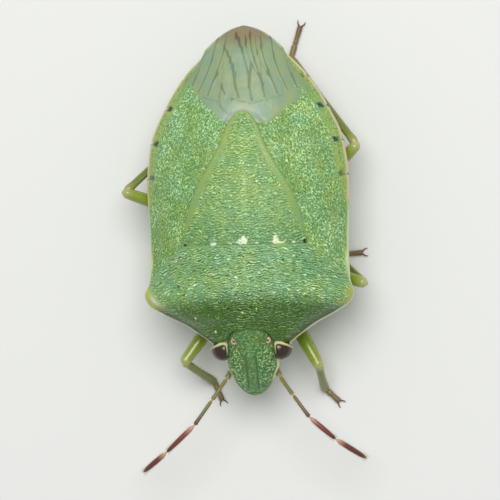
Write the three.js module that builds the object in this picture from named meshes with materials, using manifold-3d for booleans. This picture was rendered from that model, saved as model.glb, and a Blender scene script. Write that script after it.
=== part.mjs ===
// A green shield bug, adult, standing still with its wings closed, at life size in millimetres.
// +Z is up, the head points along -Y, and the feet stand on the plane z = 0.
// The bug's own left side is +X. The origin lies on the floor under the middle of the whole animal,
// feelers and feet included.
import * as THREE from "three";
import { mergeVertices } from "three/addons/utils/BufferGeometryUtils.js";
import Module from "manifold-3d";

const wasm = await Module();
wasm.setup();

// Driving dimensions, in millimetres. Stations along the body are y values from its middle.
const HEAD_TIP = -7.5;
const WING_TIP = 7.5;
const GAP = 0.3;
const WING_THICKNESS = 0.5;
const PRONOTUM_THICKNESS = 0.6;
const EDGE_THICKNESS = 0.35;
const FRAME_SHIFT = [0.25, 1.38, 0];

// Half the body's width in plan, from the front corners of the pronotum to the tips of the wings.
const halfWidth = curve([
  [-5.45, 1.62], [-5.1, 2.08], [-4.67, 2.7], [-4.2, 3.58], [-3.8, 4.14],
  [-3.4, 4.3], [-2.9, 4.13], [-1.4, 4.08], [1.0, 4.17], [2.7, 4.0],
  [4.2, 3.38], [5.5, 2.55], [6.5, 1.6], [7.2, 0.8], [WING_TIP, 0.15],
]);
// Height of the back along the middle line, and of the sharp side edge.
const backHeight = curve([
  [-5.5, 4.2], [-4.85, 4.72], [-3.9, 5.4], [-2.6, 5.8], [-1.2, 5.9],
  [1, 5.8], [4, 5.1], [5.5, 4.65], [WING_TIP, 4.0],
]);
const edgeHeight = curve([
  [-5.5, 3.45], [-4.4, 3.75], [-3.4, 4.05], [-2.5, 3.75], [0, 3.55], [5, 3.5], [WING_TIP, 3.7],
]);
// Height of the belly along the middle line.
const bellyHeight = curve([
  [-5.5, 2.3], [-4.5, 1.95], [-3, 1.6], [-1, 1.45], [2, 1.4],
  [4, 1.5], [5.5, 1.85], [6.4, 2.35], [WING_TIP, 3.0],
]);
// How square the arch of the back is, and how steeply the belly rises from its keel.
const BACK_ARCH = [2.4, 0.9];
const BELLY_RISE = 1.1;

// A smooth curve through a few [station, value] knots that never overshoots between them.
function curve(knots) {
  const slopes = knots.slice(1).map(([y, v], i) => (v - knots[i][1]) / (y - knots[i][0]));
  const tangents = knots.map((_, i) => {
    if (i === 0) return slopes[0];
    const [before, after] = [slopes[i - 1], slopes[i]];
    if (i === knots.length - 1) return before;
    return before * after <= 0 ? 0 : (2 * before * after) / (before + after);
  });
  return (y) => {
    const last = knots.length - 2;
    let i = knots.findIndex(([station]) => station > y) - 1;
    if (i < 0) i = y <= knots[0][0] ? 0 : last;
    const span = knots[i + 1][0] - knots[i][0];
    const t = THREE.MathUtils.clamp((y - knots[i][0]) / span, 0, 1);
    const rise = t * t * (3 - 2 * t);
    const leave = t * (1 - t) * (1 - t) * span * tangents[i];
    const arrive = t * t * (1 - t) * span * tangents[i + 1];
    return knots[i][1] + rise * (knots[i + 1][1] - knots[i][1]) + leave - arrive;
  };
}

const ramp = (value, from, to) => THREE.MathUtils.smoothstep(value, from, to);
const mix = THREE.MathUtils.lerp;
const steps = (count) => Array.from({ length: count + 1 }, (_, i) => i / count);
const across = (count) => steps(count).map((t) => 2 * t - 1);
const bump = (value, centre, width) => Math.exp(-(((value - centre) / width) ** 2));

// The back: an arch that falls from the middle line to the side edge.
function back(x, y) {
  const share = Math.min(1, Math.abs(x) / halfWidth(y));
  const arch = (1 - share ** BACK_ARCH[0]) ** BACK_ARCH[1];
  return edgeHeight(y) + (backHeight(y) - edgeHeight(y)) * arch;
}

// The belly: a keel under the middle line that rises to just below the side edge.
function belly(x, y) {
  const share = Math.min(1, Math.abs(x) / halfWidth(y));
  const rim = edgeHeight(y) - EDGE_THICKNESS;
  return rim - (rim - bellyHeight(y)) * (1 - share ** BELLY_RISE);
}

// A closed geometry from shared vertices and triangles, with its faces turned to point outwards.
function closedGeometry(points, triangles) {
  let volume = 0;
  for (const [a, b, c] of triangles) {
    const [p, q, r] = [points[a], points[b], points[c]];
    volume += p[0] * (q[1] * r[2] - q[2] * r[1]);
    volume -= p[1] * (q[0] * r[2] - q[2] * r[0]);
    volume += p[2] * (q[0] * r[1] - q[1] * r[0]);
  }
  const index = volume > 0 ? triangles.flat() : triangles.flatMap(([a, b, c]) => [a, c, b]);
  const geometry = new THREE.BufferGeometry();
  geometry.setAttribute("position", new THREE.Float32BufferAttribute(points.flat(), 3));
  return geometry.setIndex(index);
}

// A plate between an upper and a lower surface. Each column is a function of v, from 0 at its front to 1 at
// its back, that gives [x, y, top, bottom], and the rows are the values of v.
function plate(columns, rows) {
  const grid = columns.map((column) => rows.map(column));
  const upper = grid.flat().map(([x, y, top]) => [x, y, top]);
  const lower = grid.flat().map(([x, y, , bottom]) => [x, y, bottom]);
  const height = rows.length;
  const under = upper.length;
  const at = (i, j) => i * height + j;
  const triangles = [];
  const quad = (a, b, c, d) => triangles.push([a, b, c], [a, c, d]);
  for (let i = 0; i + 1 < columns.length; i++)
    for (let j = 0; j + 1 < height; j++) {
      quad(at(i, j), at(i + 1, j), at(i + 1, j + 1), at(i, j + 1));
      quad(under + at(i, j), under + at(i, j + 1), under + at(i + 1, j + 1), under + at(i + 1, j));
    }
  const ring = [];
  for (let i = 0; i + 1 < columns.length; i++) ring.push(at(i, 0));
  for (let j = 0; j + 1 < height; j++) ring.push(at(columns.length - 1, j));
  for (let i = columns.length - 1; i > 0; i--) ring.push(at(i, height - 1));
  for (let j = height - 1; j > 0; j--) ring.push(at(0, j));
  ring.forEach((a, i) => {
    const b = ring[(i + 1) % ring.length];
    quad(a, under + a, under + b, b);
  });
  return closedGeometry([...upper, ...lower], triangles);
}

// A limb: rings of a given radius at each point of a path, closed at both ends. LIMB_LEVEL is a direction
// that no limb points along, from which the turn of its rings is taken.
const LIMB_LEVEL = new THREE.Vector3(0.05, 0.03, 1);

function limb(path, radii, sides = 10) {
  const points = path.map((p) => new THREE.Vector3(...p));
  const rings = points.map((centre, i) => {
    const ahead = points[Math.min(i + 1, points.length - 1)].clone();
    const along = ahead.sub(points[Math.max(i - 1, 0)]).normalize();
    const side = new THREE.Vector3().crossVectors(along, LIMB_LEVEL).normalize();
    const up = new THREE.Vector3().crossVectors(side, along);
    return Array.from({ length: sides }, (_, k) => {
      const turn = (2 * Math.PI * (k + 0.5)) / sides;
      const out = side.clone().multiplyScalar(radii[i] * Math.cos(turn));
      out.addScaledVector(up, radii[i] * Math.sin(turn));
      return out.add(centre).toArray();
    });
  });
  const triangles = [];
  for (let i = 0; i + 1 < rings.length; i++)
    for (let k = 0; k < sides; k++) {
      const [a, b] = [i * sides + k, i * sides + ((k + 1) % sides)];
      triangles.push([a, b, b + sides], [a, b + sides, a + sides]);
    }
  const end = (rings.length - 1) * sides;
  for (let k = 1; k + 1 < sides; k++) {
    triangles.push([0, k + 1, k], [end, end + k, end + k + 1]);
  }
  return closedGeometry(rings.flat(), triangles);
}

// A smooth path through points, as one point more than the count of steps along it.
function smoothPath(knots, count) {
  const points = knots.map((p) => new THREE.Vector3(...p));
  const path = new THREE.CatmullRomCurve3(points, false, "centripetal");
  return path.getPoints(count).map((p) => p.toArray());
}

// A ball, and one squeezed to three radii.
function ellipsoid(centre, radii, sides = 12) {
  const geometry = new THREE.SphereGeometry(1, sides, Math.round(sides / 2));
  return geometry.scale(...radii).translate(...centre);
}
const ball = (centre, radius, sides) => ellipsoid(centre, [radius, radius, radius], sides);

// A geometry as a solid for joining and cutting.
function solid(geometry) {
  const bare = geometry.clone();
  bare.deleteAttribute("normal");
  bare.deleteAttribute("uv");
  const merged = mergeVertices(bare, 1e-4);
  const vertProperties = merged.attributes.position.array;
  const triVerts = new Uint32Array(merged.index.array);
  return new wasm.Manifold(new wasm.Mesh({ numProp: 3, vertProperties, triVerts }));
}

// A solid as a geometry again. Only its largest closed surface is kept.
function geometryOf(made) {
  const pieces = made.decompose().sort((a, b) => b.volume() - a.volume());
  const mesh = pieces[0].getMesh();
  const positions = new Float32Array(mesh.vertProperties);
  const geometry = new THREE.BufferGeometry();
  geometry.setAttribute("position", new THREE.BufferAttribute(positions, 3));
  return geometry.setIndex(new THREE.BufferAttribute(mesh.triVerts, 1));
}

const join = (...geometries) => geometryOf(geometries.map(solid).reduce((a, b) => a.add(b)));

// Materials
const finish = (color, roughness) => new THREE.MeshStandardMaterial({ color, roughness, metalness: 0 });
const shellGreen = finish(0x7fb072, 0.45);
const bellyGreen = finish(0x9fc06a, 0.5);
const wingGreen = finish(0x86b27c, 0.5);
const eyeMaroon = finish(0x2f1a22, 0.25);
const legGreen = finish(0x86a53e, 0.4);
const feelerBrown = finish(0x8a7a45, 0.5);

const bug = new THREE.Group();
function addPart(name, geometry, material) {
  const mesh = new THREE.Mesh(geometry, material);
  mesh.name = name;
  bug.add(mesh);
}

// Pronotum: the shield behind the head. Its front is hollowed for the head, and its back is straight over the
// scutellum and slants forward to a notch behind each shoulder.
const PRONOTUM_BACK = -1.5;
const SHOULDER_NOTCH = -2.85;
const FRONT_CORNER = -5.42;
const FRONT_MIDDLE = -4.85;
const SLANT_SHARE = 0.6;
const pronotumFront = (share) => mix(FRONT_MIDDLE, FRONT_CORNER, share ** 2);

function pronotumRear(share) {
  const slanted = Math.max(0, (Math.abs(share) - SLANT_SHARE) / (1 - SLANT_SHARE));
  return mix(PRONOTUM_BACK, SHOULDER_NOTCH, slanted);
}

function pronotum() {
  const columns = across(20).map((share) => (v) => {
    const y = mix(pronotumFront(share), pronotumRear(share), v);
    const x = share * halfWidth(mix(FRONT_CORNER, SHOULDER_NOTCH, v));
    const thickness = mix(PRONOTUM_THICKNESS, EDGE_THICKNESS, Math.abs(share) ** 3);
    return [x, y, back(x, y), back(x, y) - thickness];
  });
  return plate(columns, steps(14));
}

// Scutellum: the long triangle between the wings, with a rounded tip.
const SCUTELLUM_FRONT = PRONOTUM_BACK + GAP;
const SCUTELLUM_TIP = 4.0;
const SCUTELLUM_ROUNDING = 0.12;
const SEAM = GAP / 2;
const scutellumHalf = curve([
  [SCUTELLUM_FRONT, 2.53], [-0.87, 2.45], [0.2, 2.2], [1.03, 1.82], [1.84, 1.37],
  [2.65, 0.93], [3.4, 0.64], [3.75, 0.42], [SCUTELLUM_TIP, 0.2],
]);

function scutellum() {
  const columns = across(12).map((share) => (v) => {
    const y = mix(SCUTELLUM_FRONT, SCUTELLUM_TIP, v) - SCUTELLUM_ROUNDING * v * share ** 2;
    const x = share * (scutellumHalf(y) - SEAM * ramp(y, SCUTELLUM_TIP, SCUTELLUM_TIP - 1));
    return [x, y, back(x, y), back(x, y) - WING_THICKNESS];
  });
  return plate(columns, steps(16));
}

// Wings: each has a stiff front part beside the scutellum and a thin, veined membrane behind it.
// The side rim of the abdomen shows outside them.
const RIM_WIDTH = 0.38;
const RIM_START = [0, 1.3];
const RIM_END = [5.6, 6.5];
const CORIUM_INNER = [-1.18, 3.3];
const CORIUM_OUTER = [SHOULDER_NOTCH + GAP + 0.04, 5.3];
// The seam beside the scutellum runs aslant, so that it takes this much more in x.
const SEAM_SLANT = 0.06;
const MEMBRANE_STEP = 0.06;
const VEIN_HEIGHT = 0.1;
const VEINS = 6;
const OVERLAP = 0.6;
// Half a membrane's width at its root, where it is widened to the wing's edge, and at its rear margin.
const ROOT_HALF = 2.3;
const REAR_HALF = 1.6;
const rimWidth = (y) => RIM_WIDTH * ramp(y, ...RIM_START) * (1 - ramp(y, ...RIM_END));
const wingEdge = (y) => halfWidth(y) - rimWidth(y) - GAP * ramp(rimWidth(y), 0, 0.1);
const membraneRoot = curve([
  [-OVERLAP, 4.05], [-0.35, 4.3], [0.1, 4.36], [0.6, 3.95], [0.95, 3.75], [1.6, 4.3], [ROOT_HALF, 4.9],
]);
const membraneMargin = (x) => WING_TIP - 0.02 - 1.35 * (Math.abs(x) / 1.95) ** 1.8;

function corium(side) {
  const columns = steps(7).map((u) => (v) => {
    const innerY = mix(...CORIUM_INNER, v);
    const outerY = mix(...CORIUM_OUTER, v);
    const y = mix(innerY, outerY, u);
    const x = mix(scutellumHalf(innerY) + SEAM + SEAM_SLANT, wingEdge(outerY), u);
    return [side * x, y, back(x, y), back(x, y) - mix(WING_THICKNESS, EDGE_THICKNESS, u ** 4)];
  });
  return plate(columns, steps(14));
}

// The membrane spans from its root line, sunk in the corium, to the wing's rear margin. firstX is its inner
// edge: the left wing's lies past the middle line, and the right wing's meets it there.
function membrane(side, firstX) {
  const columns = steps(VEINS * 3).map((u, i) => (v) => {
    const startX = mix(firstX, ROOT_HALF, u);
    const endX = mix(firstX, REAR_HALF, u);
    const y = mix(membraneRoot(startX), membraneMargin(endX), v);
    const widening = u ** 3 * (wingEdge(y) - mix(ROOT_HALF, REAR_HALF, v)) * (1 - ramp(v, 0.7, 1));
    const x = mix(startX, endX, v) + widening;
    const vein = i % 3 === 1 ? VEIN_HEIGHT * ramp(v, 0, 0.25) * (1 - ramp(v, 0.8, 1)) : 0;
    const top = back(x, y) - MEMBRANE_STEP;
    return [side * x, y, top + vein, top - mix(WING_THICKNESS, EDGE_THICKNESS, v ** 3)];
  });
  return plate(columns, steps(7));
}

// Head: it slopes down to a blunt tip. Two furrows part its middle lobe from the side lobes, and an eye sits
// in a socket at each rear corner, with a small eye on the crown beside it.
const HEAD_BACK = -5.15;
const LOBE_HALF = 0.2;
const LOBE_PLACES = [-1.4, -1, -0.6, 0, 0.6, 1, 1.4];
const SIDE_PLACES = [0.25, 0.5, 0.75, 0.92, 1];
const FURROW_DEPTH = 0.08;
const FURROW_WIDTH = 0.07;
const HEAD_HOLLOW = 0.5;
const HEAD_ROUNDING = 0.1;
const HEAD_EDGE = 0.14;
const EYE_GAP = 0.22;
const EYE_RADII = [0.34, 0.33, 0.34];
const EYE_PLACE = [1.36, -5.72, 3.5];
const OCELLUS_PLACE = [0.68, -5.42, 4.0];
const OCELLUS_RADIUS = 0.14;
const headHalf = curve([
  [HEAD_TIP, 0.2], [-7.38, 0.43], [-7.13, 0.68], [-6.78, 0.85],
  [-6.43, 0.98], [-6.1, 1.12], [-5.7, 1.24], [HEAD_BACK, 1.32],
]);
const headTop = curve([[HEAD_TIP, 2.72], [-7.3, 2.95], [-6.8, 3.42], [-6, 3.98], [HEAD_BACK, 4.38]]);
const headSide = curve([[HEAD_TIP, 2.56], [-7, 2.72], [-6.2, 3.05], [HEAD_BACK, 3.4]]);
const headUnder = curve([[HEAD_TIP, 2.38], [-7.3, 2.25], [-6.8, 2.1], [-6, 2.1], [HEAD_BACK, 2.3]]);

function furrow(x, v) {
  const shown = ramp(v, 0.15, 0.35) * (1 - ramp(v, 0.9, 1));
  return FURROW_DEPTH * shown * bump(Math.abs(x), LOBE_HALF, FURROW_WIDTH);
}

function head() {
  // Where the head is narrow, its middle lobe narrows with it.
  const lobeHalf = (half) => LOBE_HALF * Math.min(1, 2 * half);
  const lobes = LOBE_PLACES.map((k) => (half) => k * lobeHalf(half));
  const sides = SIDE_PLACES.map((t) => (half) => mix(1.4 * lobeHalf(half), half, t));
  const mirrored = sides.map((place) => (half) => -place(half)).reverse();
  const columns = [...mirrored, ...lobes, ...sides].map((place) => (v) => {
    const station = mix(HEAD_BACK, HEAD_TIP, v);
    const half = headHalf(station);
    const x = place(half);
    const share = Math.abs(x) / half;
    const y = station + share ** 2 * (HEAD_ROUNDING * v ** 6 - HEAD_HOLLOW * (1 - v) ** 2);
    const arch = Math.sqrt(Math.max(0, 1 - share ** 2.4));
    const top = headSide(y) + (headTop(y) - headSide(y)) * arch - furrow(x, v);
    const rim = headSide(y) - HEAD_EDGE;
    return [x, y, top, rim - (rim - headUnder(y)) * arch];
  });
  const [eyeX, eyeY, eyeZ] = EYE_PLACE;
  const [ocellusX, ocellusY, ocellusZ] = OCELLUS_PLACE;
  const socketRadii = EYE_RADII.map((radius) => radius + EYE_GAP);
  let whole = solid(plate(columns, steps(11)));
  for (const side of [-1, 1]) {
    whole = whole.add(solid(ball([side * ocellusX, ocellusY, ocellusZ], OCELLUS_RADIUS, 8)));
    whole = whole.subtract(solid(ellipsoid([side * eyeX, eyeY, eyeZ], socketRadii)));
  }
  return geometryOf(whole);
}

const eye = (side) => ellipsoid([side * EYE_PLACE[0], EYE_PLACE[1], EYE_PLACE[2]], EYE_RADII, 14);

// Feelers: five lengths each, thinner at every joint. The joints are [x, y, z] of the left and the right one.
const FEELER_RADIUS = 0.25;
const FEELER_WAIST = 0.21;
const FEELER_TIP = 0.1;
const FEELER_JOINTS = {
  left: [
    [0.98, -6.62, 2.55], [1.05, -6.95, 2.7], [1.6, -7.65, 3.1],
    [2.28, -8.55, 3.35], [3.33, -9.48, 3.2], [4.55, -10.32, 2.6],
  ],
  right: [
    [-1.02, -6.66, 2.55], [-1.14, -7.0, 2.7], [-1.75, -7.78, 3.1],
    [-2.47, -8.78, 3.35], [-3.69, -9.9, 3.2], [-4.77, -10.74, 2.6],
  ],
};

function feeler(joints) {
  const [path, radii] = [[], []];
  joints.slice(1).forEach((end, i) => {
    const last = i === joints.length - 2;
    for (const t of [0.03, 0.22, 0.55, 0.85, 0.97]) {
      path.push(between(joints[i], end, t));
      const waist = t < 0.1 || (t > 0.9 && !last);
      const full = last ? mix(FEELER_RADIUS, FEELER_TIP, ramp(t, 0.5, 1)) : FEELER_RADIUS;
      radii.push(waist ? FEELER_WAIST : full);
    }
  });
  return limb(path, radii, 8);
}

// Thorax: the underside of the front body, with a socket for each hip. Abdomen: the rear body, whose side rim
// stands up outside the wings and is notched at each segment.
const SIDE_SHARE = 0.9;
const THORAX_FRONT = -4.7;
const THORAX_BACK = 0;
const NECK_HALF = 1.62;
const NECK_HOLLOW = 0.45;
const UNDER_PRONOTUM = PRONOTUM_THICKNESS + GAP;
const UNDER_WING = WING_THICKNESS + MEMBRANE_STEP + GAP;
const ABDOMEN_FRONT = THORAX_BACK + GAP;
const ABDOMEN_BACK = 6.3;
const LEAST_RIM = 0.05;
const RIM_FOOT_SHARE = 0.12;
const SEGMENT_ENDS = [1.4, 2.81, 4.2, 5.43];
const NOTCH_DEPTH = 0.07;
const NOTCH_WIDTH = 0.14;
const HIP_RADIUS = 0.42;
const HIP_DROP = -0.08;

function thorax(hips) {
  const columns = across(12).map((share) => (v) => {
    const station = mix(THORAX_FRONT, THORAX_BACK, v);
    const x = share * SIDE_SHARE * halfWidth(station);
    const y = station - NECK_HOLLOW * Math.min(1, (x / NECK_HALF) ** 2) * (1 - v) ** 8;
    return [x, y, back(x, y) - UNDER_PRONOTUM, belly(x, y)];
  });
  const whole = solid(plate(columns, steps(10)));
  const sockets = hips.map((hip) => solid(ball(hip, HIP_RADIUS + GAP, 10)));
  return geometryOf(sockets.reduce((body, socket) => body.subtract(socket), whole));
}

function abdomen() {
  const notch = (y) => SEGMENT_ENDS.reduce((sum, end) => sum + NOTCH_DEPTH * bump(y, end, NOTCH_WIDTH), 0);
  const rimFoot = (y) => halfWidth(y) - Math.max(rimWidth(y), LEAST_RIM);
  const trough = across(8).map((share) => (y) => {
    const x = share * rimFoot(y);
    const top = back(x, y) - UNDER_WING;
    return [x, y, top, Math.min(belly(x, y), top - EDGE_THICKNESS)];
  });
  const rim = (side) => [RIM_FOOT_SHARE, 1].map((t) => (y) => {
    const x = mix(rimFoot(y), halfWidth(y) - notch(y), t);
    const top = back(x, y) - UNDER_WING * (1 - ramp(rimWidth(y), 0.04, 0.2));
    return [side * x, y, top, Math.min(belly(x, y), top - EDGE_THICKNESS)];
  });
  const aroundEnds = SEGMENT_ENDS.flatMap((end) => [end - 0.2, end, end + 0.2, end + 0.7]);
  const stations = [ABDOMEN_FRONT, 0.8, ...aroundEnds, ABDOMEN_BACK].sort((a, b) => a - b);
  return plate([...rim(-1).reverse(), ...trough, ...rim(1)], stations);
}

// Beak: it lies folded back under the head and between the hips, and thins over its last two steps.
const BEAK_RADIUS = 0.25;
const BEAK_STEPS = 10;
const BEAK_KNOTS = [[0, -6.75, 1.55], [0, -6.1, 1.45], [0, -5, 1.3], [0, -3.4, 0.95], [0, -1.6, 0.85]];

function beak() {
  const radii = [...Array(BEAK_STEPS - 1).fill(BEAK_RADIUS), 0.2, 0.12];
  return limb(smoothPath(BEAK_KNOTS, BEAK_STEPS), radii, 8);
}

// Legs: hip, knee, ankle and toe of each, as [x, y, z]. The thigh node takes in the hip, and the foot stands
// on a flat. HIPS gives each pair's distance from the middle line and its station.
const KNEE_RADIUS = 0.27;
const THIGH_RADIUS = 0.33;
const THIGH_SAG = 0.12;
const KNEE_CAP = 0.15;
const SHIN_RADIUS = 0.25;
const ANKLE_RADIUS = 0.18;
const ANKLE_HEIGHT = 0.42;
const FOOT_RADIUS = 0.27;
const FOOT_HEIGHT = 0.2;
const HIPS = { front: [0.95, -3.46], middle: [1.0, -2.0], hind: [1.0, -0.72] };

function leg(pair, side, knee, ankle, toe) {
  const [x, y] = HIPS[pair];
  const hip = [side * x, y, bellyHeight(y) + HIP_DROP];
  return [hip, knee, [...ankle, ANKLE_HEIGHT], [...toe, FOOT_HEIGHT]];
}

const LEGS = {
  front_left: leg("front", 1, [2.65, -6.48, 2.3], [2.72, -7.55], [3.4, -8.2]),
  front_right: leg("front", -1, [-2.95, -6.22, 2.25], [-1.98, -7.15], [-1.6, -8.1]),
  middle_left: leg("middle", 1, [4.66, -3.1, 2.95], [3.3, -1.95], [4.62, -1.85]),
  middle_right: leg("middle", -1, [-3.95, -0.9, 2.0], [-2.75, 1.75], [-3.35, 3.0]),
  hind_left: leg("hind", 1, [4.46, 2.58, 2.75], [1.62, 6.38], [2.12, 7.95]),
  hind_right: leg("hind", -1, [-5.2, 0.87, 2.7], [-2.1, 3.9], [-1.75, 5.5]),
};

function between(from, to, t) {
  return from.map((value, k) => mix(value, to[k], t));
}
const distance = (from, to) => Math.hypot(...from.map((value, k) => value - to[k]));
const towards = (from, to, length) => between(from, to, length / distance(from, to));

function thigh([hip, knee]) {
  const stretch = [0, 0.18, 0.45, 0.7, 0.9, 1].map((t) => {
    const [x, y, z] = between(hip, knee, t);
    return [x, y, z - THIGH_SAG * Math.sin(Math.PI * t)];
  });
  const radii = [0.24, 0.27, THIGH_RADIUS, 0.31, KNEE_RADIUS, KNEE_RADIUS, 0.14];
  const shaft = limb([...stretch, towards(knee, hip, -KNEE_CAP)], radii);
  return join(ball(hip, HIP_RADIUS, 10), shaft);
}

function shin([, knee, ankle]) {
  const start = towards(knee, ankle, KNEE_RADIUS + GAP);
  const path = [start, ...[0.2, 0.6, 0.9, 1].map((t) => between(start, ankle, t))];
  return limb(path, [0.2, SHIN_RADIUS, SHIN_RADIUS, 0.27, ANKLE_RADIUS], 8);
}

function foot([, , ankle, toe]) {
  const level = [ankle[0], ankle[1], FOOT_HEIGHT];
  const start = towards(level, toe, ANKLE_RADIUS + GAP);
  const path = [0, 0.15, 0.42, 0.5, 0.62, 0.72, 0.9, 1].map((t) => between(start, toe, t));
  const pads = limb(path, [0.18, FOOT_RADIUS, 0.25, 0.21, 0.25, 0.21, 0.25, 0.14], 8);
  const floor = new THREE.BoxGeometry(30, 30, 2).translate(0, 0, -1);
  return geometryOf(solid(pads).subtract(solid(floor)));
}

addPart("pronotum", pronotum(), shellGreen);
addPart("scutellum", scutellum(), shellGreen);
addPart("wing_left", join(corium(1), membrane(1, -OVERLAP)), wingGreen);
addPart("wing_right", join(corium(-1), membrane(-1, OVERLAP + GAP)), wingGreen);
addPart("head", head(), shellGreen);
addPart("eye_left", eye(1), eyeMaroon);
addPart("eye_right", eye(-1), eyeMaroon);
addPart("feeler_left", feeler(FEELER_JOINTS.left), feelerBrown);
addPart("feeler_right", feeler(FEELER_JOINTS.right), feelerBrown);
addPart("beak", beak(), legGreen);
addPart("thorax", thorax(Object.values(LEGS).map(([hip]) => hip)), bellyGreen);
addPart("abdomen", abdomen(), bellyGreen);
for (const [name, joints] of Object.entries(LEGS)) {
  addPart(`thigh_${name}`, thigh(joints), legGreen);
  addPart(`shin_${name}`, shin(joints), legGreen);
  addPart(`foot_${name}`, foot(joints), feelerBrown);
}

bug.position.set(...FRAME_SHIFT);
export default bug;
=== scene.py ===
"""A green shield bug, adult, standing still with its wings closed, seen from straight above.

Every plate, leg and feeler is a surface worked out with numpy from the same sizes as the solids that it
dresses. Sizes are in millimetres from the middle of the body, with the head along -Y. They are moved and
scaled into the frame as each mesh is made.
"""

import logging
import math
from dataclasses import dataclass, field
from enum import Enum

import bpy
import numpy as np
from mathutils import Matrix, Vector


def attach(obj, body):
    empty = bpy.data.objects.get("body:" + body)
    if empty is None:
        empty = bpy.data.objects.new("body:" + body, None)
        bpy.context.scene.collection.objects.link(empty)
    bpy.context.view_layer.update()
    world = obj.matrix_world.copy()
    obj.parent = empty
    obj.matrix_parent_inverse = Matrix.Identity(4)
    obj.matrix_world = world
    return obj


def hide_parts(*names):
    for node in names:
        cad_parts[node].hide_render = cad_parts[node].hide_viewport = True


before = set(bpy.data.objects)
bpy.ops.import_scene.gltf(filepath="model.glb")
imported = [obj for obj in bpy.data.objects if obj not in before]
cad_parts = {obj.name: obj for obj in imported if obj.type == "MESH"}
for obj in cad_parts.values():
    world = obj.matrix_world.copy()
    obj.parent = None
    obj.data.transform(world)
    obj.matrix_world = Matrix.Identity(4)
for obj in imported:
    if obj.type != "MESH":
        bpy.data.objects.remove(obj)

LOG = logging.getLogger("shield_bug")
MILLIMETRE = 0.001
BODY_MIDDLE = np.array([0.25, 1.38, 0.0])
UP = np.array([0.0, 0.0, 1.0])
GOLDEN_ANGLE = math.radians(137.5)

Array = np.ndarray
Point = tuple[float, float, float]
Colour = tuple[float, float, float]
Masks = dict[str, Array | float]
Socket = bpy.types.NodeSocket
Value = Socket | float | Colour


class Side(Enum):
    """The bug's own left and right, as the sign of x."""

    LEFT = 1
    RIGHT = -1

    @property
    def word(self) -> str:
        """The side's name as the nodes spell it."""
        return self.name.lower()


def smooth(value: Array, start: float, end: float) -> Array:
    """A smooth step from 0 at start to 1 at end, 3t^2 - 2t^3 with t the clipped share of the way."""
    t = np.clip((value - start) / (end - start), 0.0, 1.0)
    return t * t * (3 - 2 * t)


def bump_at(value: Array, centre: float, width: float) -> Array:
    """A bell that is 1 at centre and falls by exp(-(distance / width)^2)."""
    return np.exp(-(((value - centre) / width) ** 2))


def blend(a: Array, b: Array, t: Array) -> Array:
    """The straight mix a + (b - a) t."""
    return a + (b - a) * t


def unit(vectors: Array) -> Array:
    """Vectors scaled to a length of 1."""
    return vectors / np.linalg.norm(vectors, axis=-1, keepdims=True)


@dataclass(frozen=True)
class Curve:
    """A smooth curve through (station, value) knots that never overshoots between them."""

    knots: tuple[tuple[float, float], ...]

    def __call__(self, station: Array) -> Array:
        """Reads the curve.

        Args:
            station: Where to read it. Past its ends the curve keeps its end values.

        Returns:
            The cubic Hermite value, whose inner tangents are harmonic means of the slopes on both sides.
        """
        ys, vs = np.array(self.knots).T
        slopes = np.diff(vs) / np.diff(ys)
        left, right = slopes[:-1], slopes[1:]
        same = left * right > 0
        inner = np.where(same, 2 * left * right / np.where(same, left + right, 1.0), 0.0)
        tangents = np.concatenate((slopes[:1], inner, slopes[-1:]))
        i = np.clip(np.searchsorted(ys, station, side="right") - 1, 0, len(ys) - 2)
        span = ys[i + 1] - ys[i]
        t = np.clip((station - ys[i]) / span, 0.0, 1.0)
        rise = t * t * (3 - 2 * t)
        leave = t * (1 - t) ** 2 * span * tangents[i]
        arrive = t * t * (1 - t) * span * tangents[i + 1]
        return vs[i] + rise * (vs[i + 1] - vs[i]) + leave - arrive


def hashed(i: Array, j: Array, seed: int) -> Array:
    """A fixed number from 0 to 1 for each whole-number cell.

    Args:
        i: The cells' columns.
        j: Their rows.
        seed: Which set of numbers.

    Returns:
        The low 16 bits of column, row and seed times large odd numbers, mixed by shifts, over 65535.
    """
    n = (i.astype(np.int64) * 374761393 + j.astype(np.int64) * 668265263 + seed * 144269504) & 0xFFFFFFFF
    n = ((n ^ (n >> 13)) * 1274126177) & 0xFFFFFFFF
    return ((n ^ (n >> 16)) & 0xFFFF) / 65535.0


def drift(x: Array, y: Array, seed: int) -> Array:
    """Smooth noise from -1 to 1.

    Args:
        x: First coordinate, one lattice cell to each whole number.
        y: Second coordinate.
        seed: Which noise.

    Returns:
        The hashed corner values of each lattice cell, blended with a smooth step both ways.
    """
    i, j = np.floor(x), np.floor(y)
    u, v = smooth(x - i, 0, 1), smooth(y - j, 0, 1)
    low = blend(hashed(i, j, seed), hashed(i + 1, j, seed), u)
    high = blend(hashed(i, j + 1, seed), hashed(i + 1, j + 1, seed), u)
    return 2 * blend(low, high, v) - 1


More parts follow.
